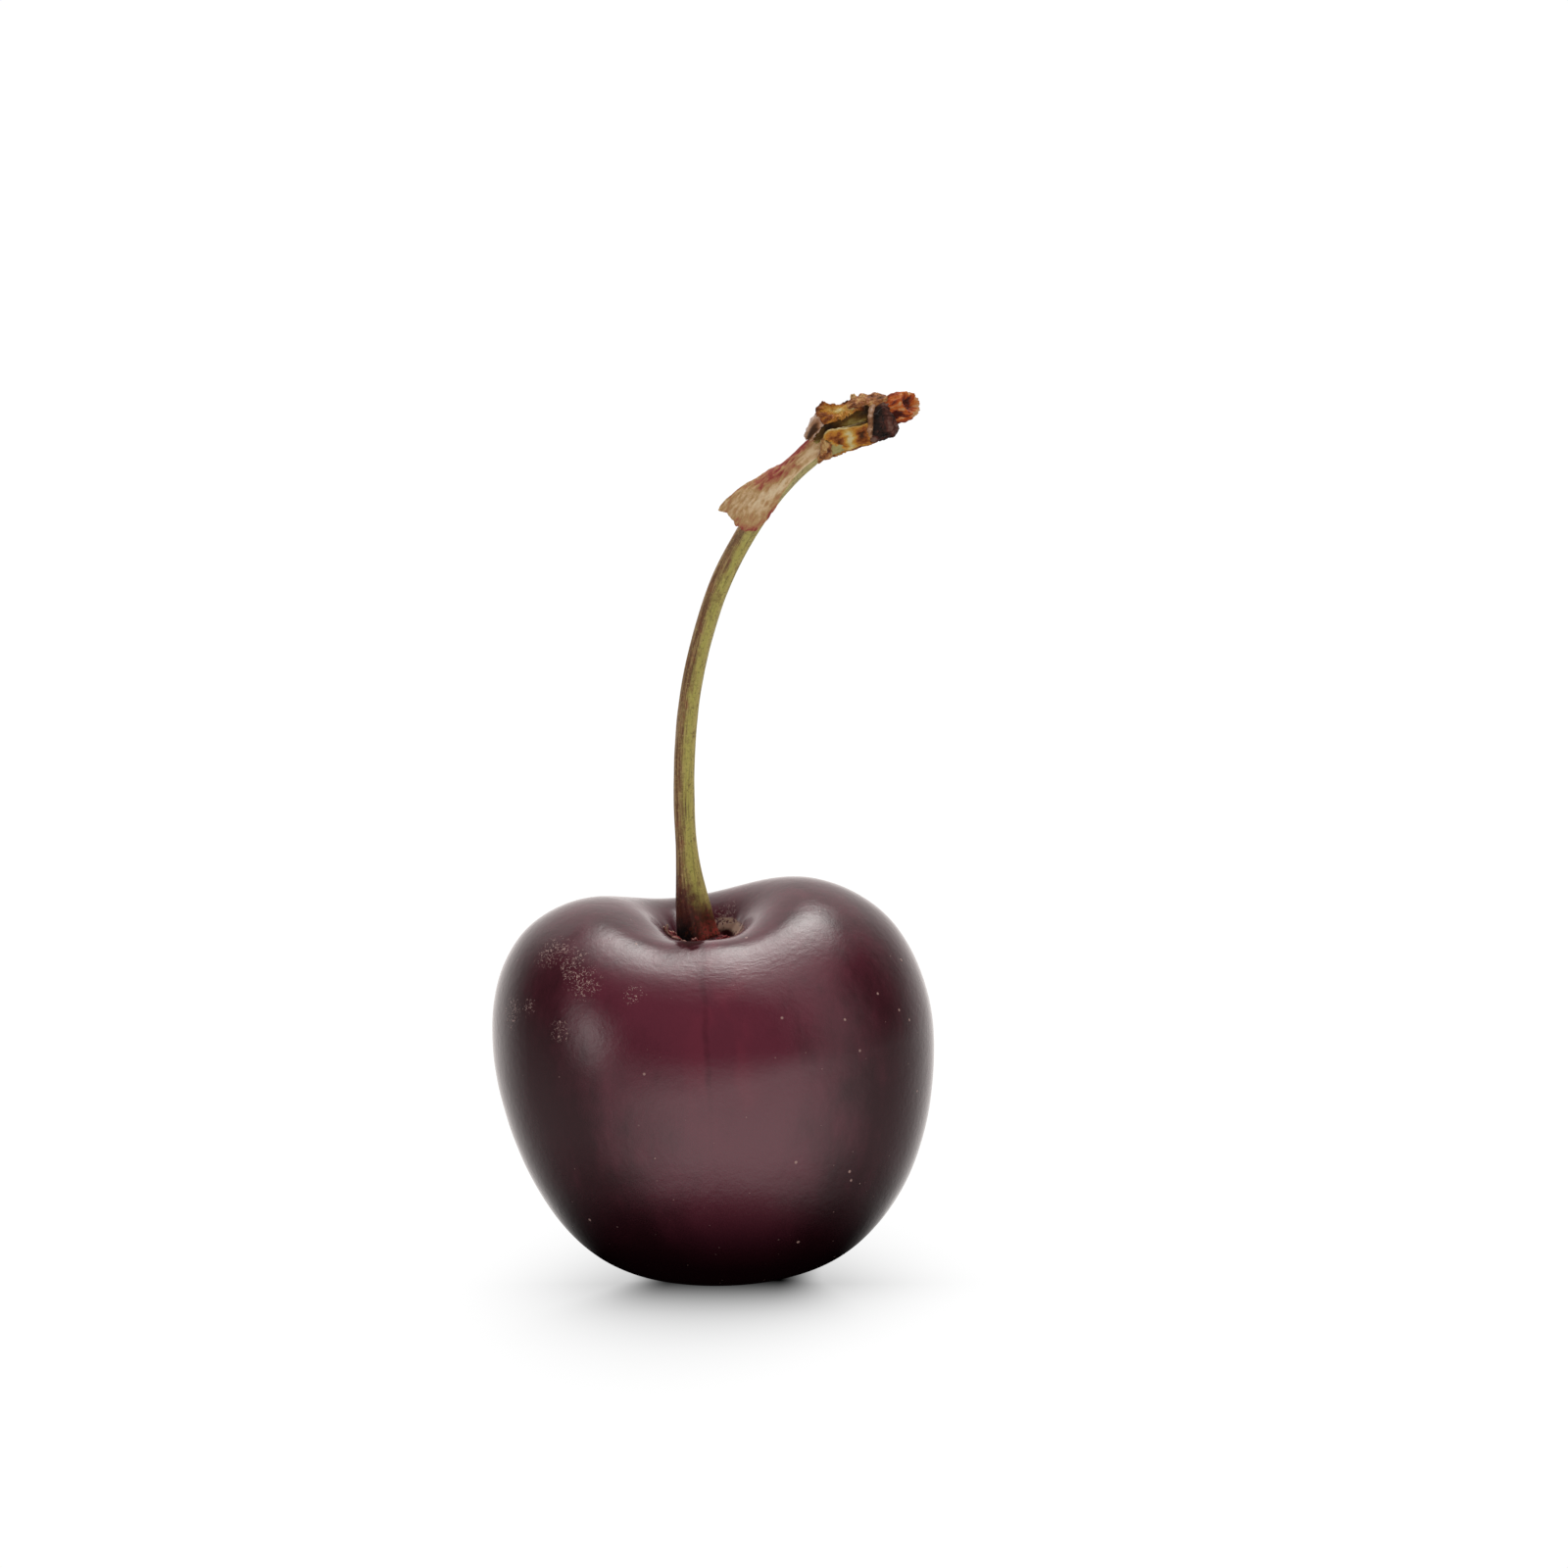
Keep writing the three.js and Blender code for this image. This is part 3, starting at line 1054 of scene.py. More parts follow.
@dataclass
class Fruit:
    """The whole fruit: its outline at each angle, its seam, its dents and the folds in its cavity.

    The outline climbs from the flat spot by the belly to the crest, and goes down the cavity's wall to its floor,
    where a small pad stands under the stalk. Sizes are in millimetres. A fullness, rise or reach is a share of the
    way from one corner of the outline to the next.

    Attributes:
        cavity_fade: How far inside the crest the painted shade deep in the cavity starts and is whole.
        rows: How many rows of points each stretch of the outline has.
        smoothed_rows: How many rows from the crest its smoothing starts and is whole.
        fold_radius: Where the cavity's folds are deepest, and how far they spread.
        red_offset: How far beside the seam the skin is reddest.
        ripple_down: How far from the crest the lip's fine ripples lie, and how far they spread.
        ripple_across: How far beside the seam they lie, and how far they spread.
        lip_shade_across: How far beside the seam the painted shade on the lip lies, and how far it spreads.
        lenticels: Places near the largest pale dots.
        rubbed: The middle and spread of each patch of dry specks.
    """

    finish: SkinFinish = SkinFinish()
    flat: Sides = Sides(4.1, 4.6, 5.2, 5.0)
    belly: Sides = Sides(14.55, 12.8, 13.7, 11.8, 0.25)
    belly_height: Sides = Sides(15.5, 14.4, 13.9, 13.7, -0.85)
    crest: Sides = Sides(6.65, 5.35, 6.1, 5.4)
    crest_height: Sides = Sides(24.65, 23.0, 23.7, 21.55, 0.25)
    base_fullness: Sides = Sides(0.6, 0.6, 0.63, 0.44)
    wall_fullness: Sides = Sides(0.53, 0.58, 0.34, 0.75)
    shoulder_rise: Sides = Sides(0.44, 0.56, 0.71, 0.74, 0.1)
    shoulder_reach: Sides = Sides(0.66, 0.39, 0.48, 0.1)
    rim_reach: Sides = Sides(0.65, 0.75, 0.93, 0.67, 0.08)
    floor_reach: Sides = Sides(0.11, 0.15, 0.11, 0.05)
    swell_up: float = 0.55
    swell_out: float = 0.2
    swell_width: float = 0.44
    swell_angle: float = math.radians(-84)
    cavity_lean: float = -1.5
    cavity_floor: float = 20.8
    cavity_fade: Span = (0.5, 3.2)
    pad_foot: float = 1.85
    pad_top: float = 1.45
    pad_height: float = 0.3
    columns: int = 320
    rows: tuple[int, int, int, int, int] = (8, 80, 84, 60, 4)
    crest_smoothing: int = 160
    smoothed_rows: Span = (44, 20)
    seam_angle: float = -math.pi / 2
    lump_height: float = 0.05
    lump_size: float = 7.0
    dimple_height: float = 0.01
    dimple_size: float = 2.2
    groove_depth: float = 0.02
    groove_width: float = 0.8
    groove_wander: float = 0.25
    fold_depth: float = 0.035
    fold_count: int = 11
    fold_radius: Span = (2.3, 0.6)
    red_offset: float = 1.2
    ripple_down: Span = (3.2, 2.2)
    ripple_across: Span = (2.0, 5.0)
    corky_patch: Spot = Spot(2.05, 21.66, 0.55, 0.36)
    # Painted shade of a small pit in the cavity's wall beside the stalk's foot.
    pit_shade: Spot = Spot(2.15, 21.2, 0.45, 0.3)
    # Painted shade down the lip under the stalk's foot: its shadow and its dark reflection, since the stalk does not
    # show in the skin's gloss.
    lip_shade: float = 0.95
    lip_shade_across: Span = (-0.4, 1.05)
    lip_shade_radius: Span = (5.2, 1.4)
    lip_shade_above: float = 20.0
    lenticels: tuple[tuple[float, float, float], ...] = (
        (9.85, -6.2, 19.1),
        (11.1, -5.45, 17.9),
        (11.9, -4.9, 17.1),
        (7.6, -8.7, 17.9),
        (8.5, -8.6, 16.0),
        (3.8, -9.85, 18.4),
        (-4.5, -10.6, 15.0),
    )
    rubbed: tuple[tuple[float, float, float, float], ...] = (
        (-10.7, -5.0, 21.5, 0.85),
        (-10.1, -5.3, 21.75, 0.7),
        (-9.0, -6.3, 21.5, 0.5),
        (-9.7, -6.4, 21.0, 0.55),
        (-9.2, -7.0, 20.7, 0.7),
        (-8.8, -7.5, 20.4, 0.85),
        (-8.4, -8.0, 20.0, 0.75),
        (-13.2, -5.0, 17.6, 0.75),
        (-12.0, -6.3, 18.3, 0.45),
        (-10.1, -8.5, 17.2, 0.55),
        (-5.5, -9.2, 19.7, 0.5),
        (0.2, 2.4, 22.5, 0.7),
        (6.5, 9.0, 17.0, 1.6),
    )

    @property
    def crest_row(self) -> int:
        """The row of points that runs along the crest."""
        return sum(self.rows[:3])

    def stretches(self, angle: Array) -> list[tuple[tuple[Array, Array], ...]]:
        """The curves that make up the outline.

        Args:
            angle: The directions round the fruit.

        Returns:
            For each curve, its two or four corners, each a radius and a height in every direction.
        """
        swell = fading(turn_between(angle, self.swell_angle), self.swell_width)
        flat, belly = self.flat.at(angle), self.belly.at(angle)
        crest = self.crest.at(angle) + self.swell_out * swell
        belly_z, crest_z = self.belly_height.at(angle), self.crest_height.at(angle) + self.swell_up * swell
        zero, one = np.zeros_like(angle), np.ones_like(angle)
        foot, floor = self.pad_foot * one, self.cavity_floor * one
        low = lerp(flat, belly, self.base_fullness.at(angle))
        return [
            ((0.4 * flat, zero), (flat, zero)),
            ((flat, zero), (low, zero), (belly, belly_z * (1 - self.wall_fullness.at(angle))), (belly, belly_z)),
            (
                (belly, belly_z),
                (belly, lerp(belly_z, crest_z, self.shoulder_rise.at(angle))),
                (lerp(crest, belly, self.shoulder_reach.at(angle)), crest_z),
                (crest, crest_z),
            ),
            (
                (crest, crest_z),
                (lerp(crest, foot, self.rim_reach.at(angle)), crest_z),
                (lerp(foot, crest, self.floor_reach.at(angle)), floor),
                (foot, floor),
            ),
            ((foot, floor), (self.pad_top * one, floor + self.pad_height)),
        ]

    def outline(self, angle: Array) -> tuple[Array, Array]:
        """The whole outline, from the middle of the flat spot to the pad in the cavity.

        Args:
            angle: The directions round the fruit.

        Returns:
            Radius and height, rows by angles.
        """
        radii, heights = [], []
        for corners, count in zip(self.stretches(angle), self.rows):
            share = np.linspace(0, 1, count + 1)[1 if radii else 0 :, None]
            if len(corners) == 2:
                weights = [1 - share, share]
            else:
                rest = 1 - share
                weights = [rest**3, 3 * rest**2 * share, 3 * rest * share**2, share**3]
            radii.append(sum(w * corner[0] for w, corner in zip(weights, corners)))
            heights.append(sum(w * corner[1] for w, corner in zip(weights, corners)))
        profile = np.stack([np.concatenate(radii), np.concatenate(heights)])
        rows = np.arange(profile.shape[1])[:, None]
        share = 0.5 * smoothstep(np.abs(rows - self.crest_row), *self.smoothed_rows)
        for _ in range(self.crest_smoothing):
            middle = (profile[:, :-2] + profile[:, 2:]) / 2
            profile[:, 1:-1] = lerp(profile[:, 1:-1], middle, share[1:-1])
        return profile[0], profile[1]

    def build(self) -> bpy.types.Object:
        """Builds and dresses the fruit.

        Returns:
            The new piece.
        """
        angle = full_turn(self.columns)
        radius, height = self.outline(angle)
        points = self._set_in_box(on_tube(angle, radius, height, self.cavity_lean * height / self.cavity_floor))
        turn = turn_between(np.broadcast_to(angle, radius.shape), self.seam_angle)
        inside = np.arange(len(radius))[:, None] >= self.crest_row
        cavity = np.where(inside, smoothstep(self.crest.at(angle) - radius, *self.cavity_fade), 0.0)
        sheet = Sheet(points)
        relief = self._relief(points, turn, radius, height, cavity)
        sheet.points = points + sheet.normals() * relief[..., None]
        sheet.points[..., 2] = np.maximum(sheet.points[..., 2], 0.0)
        sheet.marks = self._marks(points, turn, radius, height, cavity, inside)
        piece = solid_of("cherry_fruit", sheet)
        skin = sheet.points.reshape(-1, 3)
        spots = [skin[np.argmin(np.linalg.norm(skin - np.array(near), axis=1))] for near in self.lenticels]
        return dress(piece, "fruit", Slot.SKIN, self.finish.make(spots))

    @staticmethod
    def _set_in_box(points: Array) -> Array:
        """Stretches the points to the very box of the solid.

        Args:
            points: The fruit's points.

        Returns:
            The stretched points.
        """
        low, high = box_mm("fruit")
        mine_low, mine_high = points.min((0, 1)), points.max((0, 1))
        return low + (points - mine_low) * (high - low) / (mine_high - mine_low)

    def _marks(
        self, points: Array, turn: Array, radius: Array, height: Array, cavity: Array, inside: Array
    ) -> dict[str, Array]:
        """The numbers that the skin reads at each point.

        Args:
            points: The fruit's points, before its relief.
            turn: The turn from the seam.
            radius: The distance from the fruit's middle line.
            height: The height over the flat spot.
            cavity: How deep in the cavity each point lies, from 0 to 1.
            inside: Whether it lies within the crest.

        Returns:
            The numbers under their names.
        """
        seam = turn * radius
        down = np.cumsum(np.linalg.norm(np.diff(points, axis=0, prepend=points[:1]), axis=-1), axis=0)
        down = np.abs(down - down[self.crest_row])
        rippled = bump_at(down, *self.ripple_down) * bump_at(seam, *self.ripple_across)
        # Painted shade round the stalk's foot: a pit's shade, and the stalk's shadow and reflection down the lip.
        lip_shade = self.lip_shade * bump_at(seam, *self.lip_shade_across) * bump_at(radius, *self.lip_shade_radius)
        return {
            "seam": seam,
            "off_seam": np.abs(seam - self.red_offset),
            "height": height,
            "cavity": cavity,
            "down": down,
            "ripple": rippled * (points[..., 1] < 0) * ~inside,
            "rubbed": self._rubbed(points),
            "cork": self.corky_patch.at(turn, height) * inside,
            "stain": np.maximum(self.pit_shade.at(turn, height) * inside, lip_shade * (height > self.lip_shade_above)),
        }

    def _relief(self, points: Array, turn: Array, radius: Array, height: Array, cavity: Array) -> Array:
        """The fruit's soft lumps, the groove of its seam and the folds at the bottom of its cavity.

        Args:
            points: The fruit's points.
            turn: The turn from the seam.
            radius: The distance from the fruit's middle line.
            height: The height over the flat spot.
            cavity: How deep in the cavity each point lies, from 0 to 1.

        Returns:
            How far the skin stands out at each point, in millimetres.
        """
        grain = Grain(11)
        lumps = self.lump_height * grain(points, self.lump_size) + self.dimple_height * grain(points, self.dimple_size)
        wander = self.groove_wander * grain(points * (0, 0, 1) + 5, 3.0)
        groove = self.groove_depth * fading(turn * radius + wander, self.groove_width) * smoothstep(radius, 1.5, 4)
        deep = self.fold_depth * bump_at(radius, *self.fold_radius) * (cavity > 0)
        folds = deep * np.sin(turn * self.fold_count + 2.5 * grain(points, 2.5))
        return (lumps - groove) * smoothstep(height, 0.0, 0.6) + folds

    def _rubbed(self, points: Array) -> Array:
        """The patches where the skin carries dry specks, strongest at their middles.

        Args:
            points: The fruit's points.

        Returns:
            How rubbed each point is, from 0 to 1.
        """
        found = np.zeros(points.shape[:-1])
        for *centre, spread in self.rubbed:
            found = np.maximum(found, fading(np.linalg.norm(points - np.array(centre), axis=-1), spread))
        return found


# ------------------------------------------------------------------ the stalk and its line


@dataclass
class StalkLine:
    """The bent line that the stalk and the spur follow, with directions across it at each place."""

    corners: tuple[tuple[float, float, float], ...] = (
        (-1.5, 0.0, 21.4),
        (-2.15, 0.1, 25.4),
        (-2.45, 0.25, 31.5),
        (-1.95, 0.3, 37.6),
        (-0.25, 0.2, 43.8),
        (2.2, 0.05, 48.4),
        (5.1, -0.1, 51.8),
        (8.8, -0.3, 54.1),
        (13.2, -0.65, 55.4),
    )
    steps: int = 60
    half_step: float = 0.05

    def __post_init__(self) -> None:
        """Samples the line and measures it."""
        given = np.array(self.corners)
        ends = [2 * given[0] - given[1], *given, 2 * given[-1] - given[-2]]
        samples = [self._stretch(*ends[i : i + 4]) for i in range(len(given) - 1)]
        self._points = np.concatenate([*samples, given[-1:]])
        gaps = np.linalg.norm(np.diff(self._points, axis=0), axis=1)
        self._along = np.concatenate([[0.0], np.cumsum(gaps)])
        self.length = self._along[-1]

    def _stretch(self, before: Array, start: Array, end: Array, after: Array) -> Array:
        """Samples the smooth curve between two corners, whose speed follows the gaps between corners.

        Args:
            before: The corner before the curve.
            start: Where the curve starts.
            end: Where it ends.
            after: The corner after it.

        Returns:
            Points on the curve, without its end.
        """
        gaps = [np.linalg.norm(b - a) ** 0.5 for a, b in ((before, start), (start, end), (end, after))]
        leave = (start - before) / gaps[0] - (end - before) / (gaps[0] + gaps[1]) + (end - start) / gaps[1]
        arrive = (end - start) / gaps[1] - (after - start) / (gaps[1] + gaps[2]) + (after - end) / gaps[2]
        leave, arrive = leave * gaps[1], arrive * gaps[1]
        t = np.linspace(0, 1, self.steps, endpoint=False)[:, None]
        return (
            start
            + leave * t
            + (3 * (end - start) - 2 * leave - arrive) * t**2
            + (2 * (start - end) + leave + arrive) * t**3
        )

    def at(self, along: Array) -> Array:
        """The points that lie so far along the line, in millimetres."""
        return np.stack([np.interp(along, self._along, self._points[:, axis]) for axis in range(3)], -1)

    def beside(self, along: Array, out: Array, angle: Array) -> Array:
        """Points beside the line, where an angle of 0 is the front and a quarter turn the hollow side."""
        along, out, angle = np.broadcast_arrays(along, out, angle)
        return self.offset(along, out * np.sin(angle), out * np.cos(angle))

    def offset(self, along: Array, side: Array, front: Array) -> Array:
        """Points beside the line.

        Args:
            along: How far along the line each one lies. It may lie past the line's end.
            side: How far it lies towards the line's hollow side.
            front: How far it lies towards the front.

        Returns:
            The points.
        """
        held, step = np.minimum(along, self.length), self.half_step
        tangent = self.at(np.minimum(held + step, self.length)) - self.at(np.maximum(held - step, 0))
        tangent /= np.linalg.norm(tangent, axis=-1, keepdims=True)
        forward = np.array([0.0, -1.0, 0.0]) + tangent * tangent[..., 1:2]
        forward /= np.linalg.norm(forward, axis=-1, keepdims=True)
        hollow = np.cross(tangent, forward)
        beyond = tangent * np.maximum(along - self.length, 0.0)[..., None]
        return self.at(along) + beyond + forward * front[..., None] + hollow * side[..., None]


@dataclass
class Stalk:
    """The stalk: flared at its foot, ridged along its length and narrow inside the scales.

    On its hollow side the foot has a toe that stands out at the very bottom, and is drawn in above it. The depths
    of its fibres, knots and ribs are shares of its radius.
    """

    line: StalkLine
    finish: StalkFinish = StalkFinish()
    radius: float = 0.65
    flare: float = 0.7
    flare_reach: float = 3.6
    foot_reach: float = 1.6
    toe: float = 0.16
    toe_reach: float = 0.55
    drawn_in: float = 0.26
    drawn_reach: float = 2.0
    neck: float = 0.5
    neck_from: float = 32.8
    neck_to: float = 34.2
    length: float = 37.35
    fibre_depth: float = 0.035
    knot_depth: float = 0.03
    knot_size: float = 2.4
    rib_depth: float = 0.09
    rib_count: int = 5
    rows: int = 420
    columns: int = 72

    def radius_at(self, along: Array) -> Array:
        """The stalk's radius without its ridges."""
        flared = self.radius + self.flare * fading(along, self.flare_reach)
        return lerp(flared, self.neck, smoothstep(along, self.neck_from, self.neck_to))

    def build(self) -> bpy.types.Object:
        """Builds and dresses the stalk.

        Returns:
            The new piece.
        """
        grain = Grain(23)
        along, angle = grid_of(np.linspace(0, self.length, self.rows), full_turn(self.columns))
        fibre = grain.rough(on_tube(angle, 3, along * 0.16), 0.8, 3)
        knots = grain(self.line.beside(along, 0.6, angle), self.knot_size)
        ribs = fading(along, self.foot_reach) * np.sin(self.rib_count * angle + 1.1)
        side = np.sin(angle)
        relief = 1 + self.fibre_depth * fibre + self.knot_depth * knots + self.rib_depth * ribs
        out = self.radius_at(along) * relief
        out += self.toe * fading(along, self.toe_reach) * smoothstep(side, -0.6, 0.7)
        out -= self.drawn_in * fading(along, self.drawn_reach) * smoothstep(side, -0.2, 0.9)
        marks = {
            "along": along,
            "side": side,
            "turn": np.abs(turn_between(angle, math.pi / 2)),
            "fibre": 0.5 + fibre * 0.5,
        }
        piece = solid_of("cherry_stalk", Sheet(self.line.beside(along, out, angle), marks))
        return dress(piece, "stalk", Slot.STALK, self.finish.make())


@dataclass
class CupRing:
    """The torn, dried ring of the flower cup that is left round the stalk's foot, with flaps that stand up.

    A flap is its place and its half width in degrees, and how much higher it stands than the low rim. Near the
    gap the rim is lowest.
    """

    finish: TornFinish = TORN_CUP
    inner: float = 1.6
    outer: float = 1.9
    bottom: float = 21.2
    start: float = math.radians(-60)
    end: float = math.radians(285)
    middle: float = -1.5
    flaps: tuple[tuple[float, float, float], ...] = (
        (168, 17, 0.8),
        (208, 20, 1.0),
        (228, 10, 0.5),
        (262, 9, 0.35),
        (318, 12, 0.5),
    )
    low_rim: float = 0.28
    gap_angle: float = 0.6
    gap_width: float = 0.8
    gap_depth: float = 0.8
    curl: float = 0.35
    curled_height: Span = (0.2, 0.9)
    crumple: float = 0.1
    pale_height: Span = (0.55, 0.95)
    red_angle: float = math.radians(315)
    thickness: float = 0.12
    rows: int = 22
    columns: int = 320

    def build(self) -> bpy.types.Object:
        """Builds and dresses the ring.

        Returns:
            The new piece.
        """
        grain = Grain(31)
        angle, rise = grid_of(np.linspace(self.start, self.end, self.columns), np.linspace(0, 1, self.rows))
        way = on_tube(angle, 2, rise * 0.4)
        level = way * (1, 1, 0)
        gap = fading(turn_between(angle, self.gap_angle), self.gap_width)
        stand = self.low_rim * (1 - self.gap_depth * gap) + sum(
            tall * fading(turn_between(angle, math.radians(place)), math.radians(width))
            for place, width, tall in self.flaps
        )
        ragged = np.clip(0.75 + 0.75 * grain.rough(level, 0.5, 4), 0.15, 1.3)
        lift = rise * ragged * stand
        curl = self.curl * smoothstep(lift, *self.curled_height) * (1 + grain(level, 0.9))
        out = lerp(self.inner, self.outer, rise**0.7) + curl + self.crumple * grain.rough(way, 0.35, 2)
        height = self.bottom + lift + 0.07 * grain(way, 0.3) - 0.5 * curl * smoothstep(rise, 0.6, 1.0)
        red_front = 0.7 * fading(turn_between(angle, self.red_angle), 1.0)
        pale = smoothstep(rise, *self.pale_height) * (1 - np.maximum(red_front, gap))
        marks = {"tone": 0.9 - 0.75 * pale, "fibre": 0.5 + 0.5 * grain(way, 0.2)}
        sheet = Sheet(on_tube(angle, out, height, self.middle), marks, closed=False)
        piece = shell_of("flower_cup_remains", sheet, np.full(angle.shape, self.thickness))
        return dress(piece, "flower_cup_ring", Slot.TORN_RED, self.finish.make())


# ------------------------------------------------------------------ bract and scales


@dataclass
class TornSheet:
    """A dried, torn sheet beside the stalk's line, drawn through a small net of points.

    A row of the net runs across the sheet. Each point holds how far along the line it lies, how far to the
    line's hollow side, how far to the front, and its tone.

    Attributes:
        thickness: Its thickness away from its edges, in millimetres.
        ragged: How far its edges are torn back, as a share of its length or width.
        wrinkle: The height of its creases and fibres, in millimetres.
        roll: How far its edges roll away from the stalk, in millimetres.
        rim_tone: What its edges add to its tone.
        fibre_size: How far apart its fibres are, in millimetres.
        edge: How wide its thin rolled edge is, as a share of half its length or width.
        net_samples: How finely its net is sampled each way.
    """

    line: StalkLine
    name: str
    node: str
    net: Net
    seed: int
    thickness: float = 0.13
    ragged: float = 0.1
    wrinkle: float = 0.08
    roll: float = 0.08
    rim_tone: float = 0.0
    fibre_size: float = 0.3
    edge: float = 0.22
    rows: int = 110
    columns: int = 90
    net_samples: int = 240

    def build(self, slot: Slot, material: bpy.types.Material) -> bpy.types.Object:
        """Builds and dresses the sheet.

        Args:
            slot: The record's slot for its finish.
            material: Its finish.

        Returns:
            The new piece.
        """
        grain = Grain(self.seed)
        rise, across = grid_of(np.linspace(0, 1, self.rows), np.linspace(0, 1, self.columns))
        along, side, front, tone = np.moveaxis(self._torn(grain, rise, across), -1, 0)
        border = 2 * np.minimum(np.minimum(rise, 1 - rise), np.minimum(across, 1 - across))
        near_edge = smoothstep(border, self.edge, 0.0)
        sheet = Sheet(self.line.offset(along, side, front), closed=False)
        length = np.stack([along * 0.25, side, front], -1) + self.seed
        fibre = grain.rough(length, self.fibre_size, 3)
        creases = 1 - 2 * np.abs(grain(length * (1.4, 1, 1) + 9, self.fibre_size * 1.5))
        height = self.wrinkle * (0.5 * grain.rough(sheet.points, 0.7, 3) + 0.6 * creases + 0.5 * fibre)
        normals = sheet.normals()
        facing = np.sign((normals * (sheet.points - self.line.at(along))).sum(-1).mean())
        sheet.points = sheet.points + normals * (height + self.roll * near_edge**2 * facing)[..., None]
        tone = tone + self.rim_tone * near_edge - 0.25 * (creases + fibre - 0.3)
        sheet.marks = {"tone": tone, "fibre": 0.5 + 0.5 * fibre}
        piece = shell_of(self.name, sheet, self.thickness * (1 - 0.5 * near_edge))
        return dress(piece, self.node, slot, material)

    def _torn(self, grain: Grain, rise: Array, across: Array) -> Array:
        """Tears the net's edges back and spreads what is left over the sheet.

        Args:
            grain: The sheet's noise.
            rise: The share of the way up the sheet at each point.
            across: The share of the way across it.

        Returns:
            The net's four values at each point.
        """
        last = self.net_samples - 1
        fine = smooth_through(np.array(self.net), self.net_samples)
        fine = np.moveaxis(smooth_through(np.moveaxis(fine, 1, 0), self.net_samples), 0, 1)
        zero = np.zeros_like(rise)

        def torn(place: Array, offset: float) -> Array:
            """How far an edge is torn back."""
            way = np.stack([place * 3.2, zero + offset, zero], -1)
            return self.ragged * np.clip(0.5 + 1.3 * grain.rough(way, 0.32, 5), 0.0, 1.7)

        u = lerp(torn(across, 3.1), 1 - torn(across, 7.7), rise) * last
        v = lerp(torn(rise, 12.3), 1 - torn(rise, 18.9), across) * last
        row, column = np.minimum(u.astype(int), last - 1), np.minimum(v.astype(int), last - 1)
        s, t = (u - row)[..., None], (v - column)[..., None]
        upper = lerp(fine[row, column], fine[row, column + 1], t)
        return lerp(upper, lerp(fine[row + 1, column], fine[row + 1, column + 1], t), s)


# The bract's net, from the end of its free lobe up to where it wraps the stalk under the scales.
# Its tones are partly its own colour and partly painted light: a painted highlight runs as a pale streak along it, and
# it is deeper where it turns behind the stalk, as painted shade.
BRACT_NET: Net = (
    (
        (26.95, -2.25, 0.2, 0.5), (27.1, -1.75, 0.4, 0.45), (27.0, -1.2, 0.6, 0.5),
        (26.8, -0.75, 0.75, 0.85), (26.85, -0.1, 0.85, 0.95), (27.15, 0.42, 0.8, 0.8),
    ),
    (
        (27.45, -2.27, 0.15, 0.5), (27.6, -1.8, 0.4, 0.38), (27.5, -1.25, 0.65, 0.42),
        (27.5, -0.65, 0.82, 0.5), (27.5, 0.0, 0.88, 0.6), (27.8, 0.55, 0.7, 0.75),
    ),
    (
        (28.3, -2.05, 0.1, 0.6), (28.3, -1.65, 0.4, 0.4), (28.3, -1.15, 0.65, 0.36),
        (28.3, -0.6, 0.82, 0.2), (28.3, 0.0, 0.86, 0.35), (28.5, 0.64, 0.55, 0.8),
    ),
    (
        (29.1, -1.75, 0.0, 0.5), (29.1, -1.4, 0.4, 0.4), (29.1, -1.0, 0.65, 0.32),
        (29.1, -0.5, 0.8, 0.15), (29.1, 0.0, 0.84, 0.3), (29.2, 0.6, 0.55, 0.8),
    ),
    (
        (29.9, -1.4, -0.1, 0.6), (29.9, -1.15, 0.3, 0.75), (29.9, -0.8, 0.6, 0.75),
        (29.9, -0.4, 0.77, 0.3), (29.9, 0.0, 0.82, 0.1), (29.9, 0.42, 0.68, 0.6),
    ),
    (
        (30.7, -1.1, -0.3, 0.75), (30.7, -1.0, 0.2, 0.8), (30.7, -0.7, 0.55, 0.8),
        (30.7, -0.35, 0.76, 0.6), (30.7, 0.0, 0.82, 0.1), (30.7, 0.32, 0.74, 0.5),
    ),
    (
        (31.5, -0.78, -0.4, 0.95), (31.5, -0.76, 0.1, 0.8), (31.5, -0.6, 0.46, 0.6),
        (31.6, -0.33, 0.76, 0.7), (31.6, -0.02, 0.82, 0.35), (31.6, 0.25, 0.77, 0.2),
    ),
    (
        (32.5, -0.74, -0.45, 1.1), (32.5, -0.77, 0.1, 1.1), (32.5, -0.6, 0.5, 0.8),
        (32.5, -0.33, 0.78, 0.3), (32.5, -0.02, 0.83, 0.4), (32.5, 0.22, 0.78, 0.1),
    ),
    (
        (33.4, -0.82, -0.5, 1.1), (33.4, -0.87, 0.1, 1.15), (33.4, -0.68, 0.5, 0.85),
        (33.4, -0.33, 0.8, 0.3), (33.4, -0.02, 0.85, 0.3), (33.4, 0.25, 0.8, 0.1),
    ),
    (
        (34.2, -0.86, -0.45, 1.0), (34.2, -0.92, 0.1, 0.85), (34.2, -0.7, 0.5, 0.4),
        (34.2, -0.33, 0.82, 0.5), (34.2, -0.02, 0.86, 0.4), (34.2, 0.28, 0.8, 0.3),
    ),
)


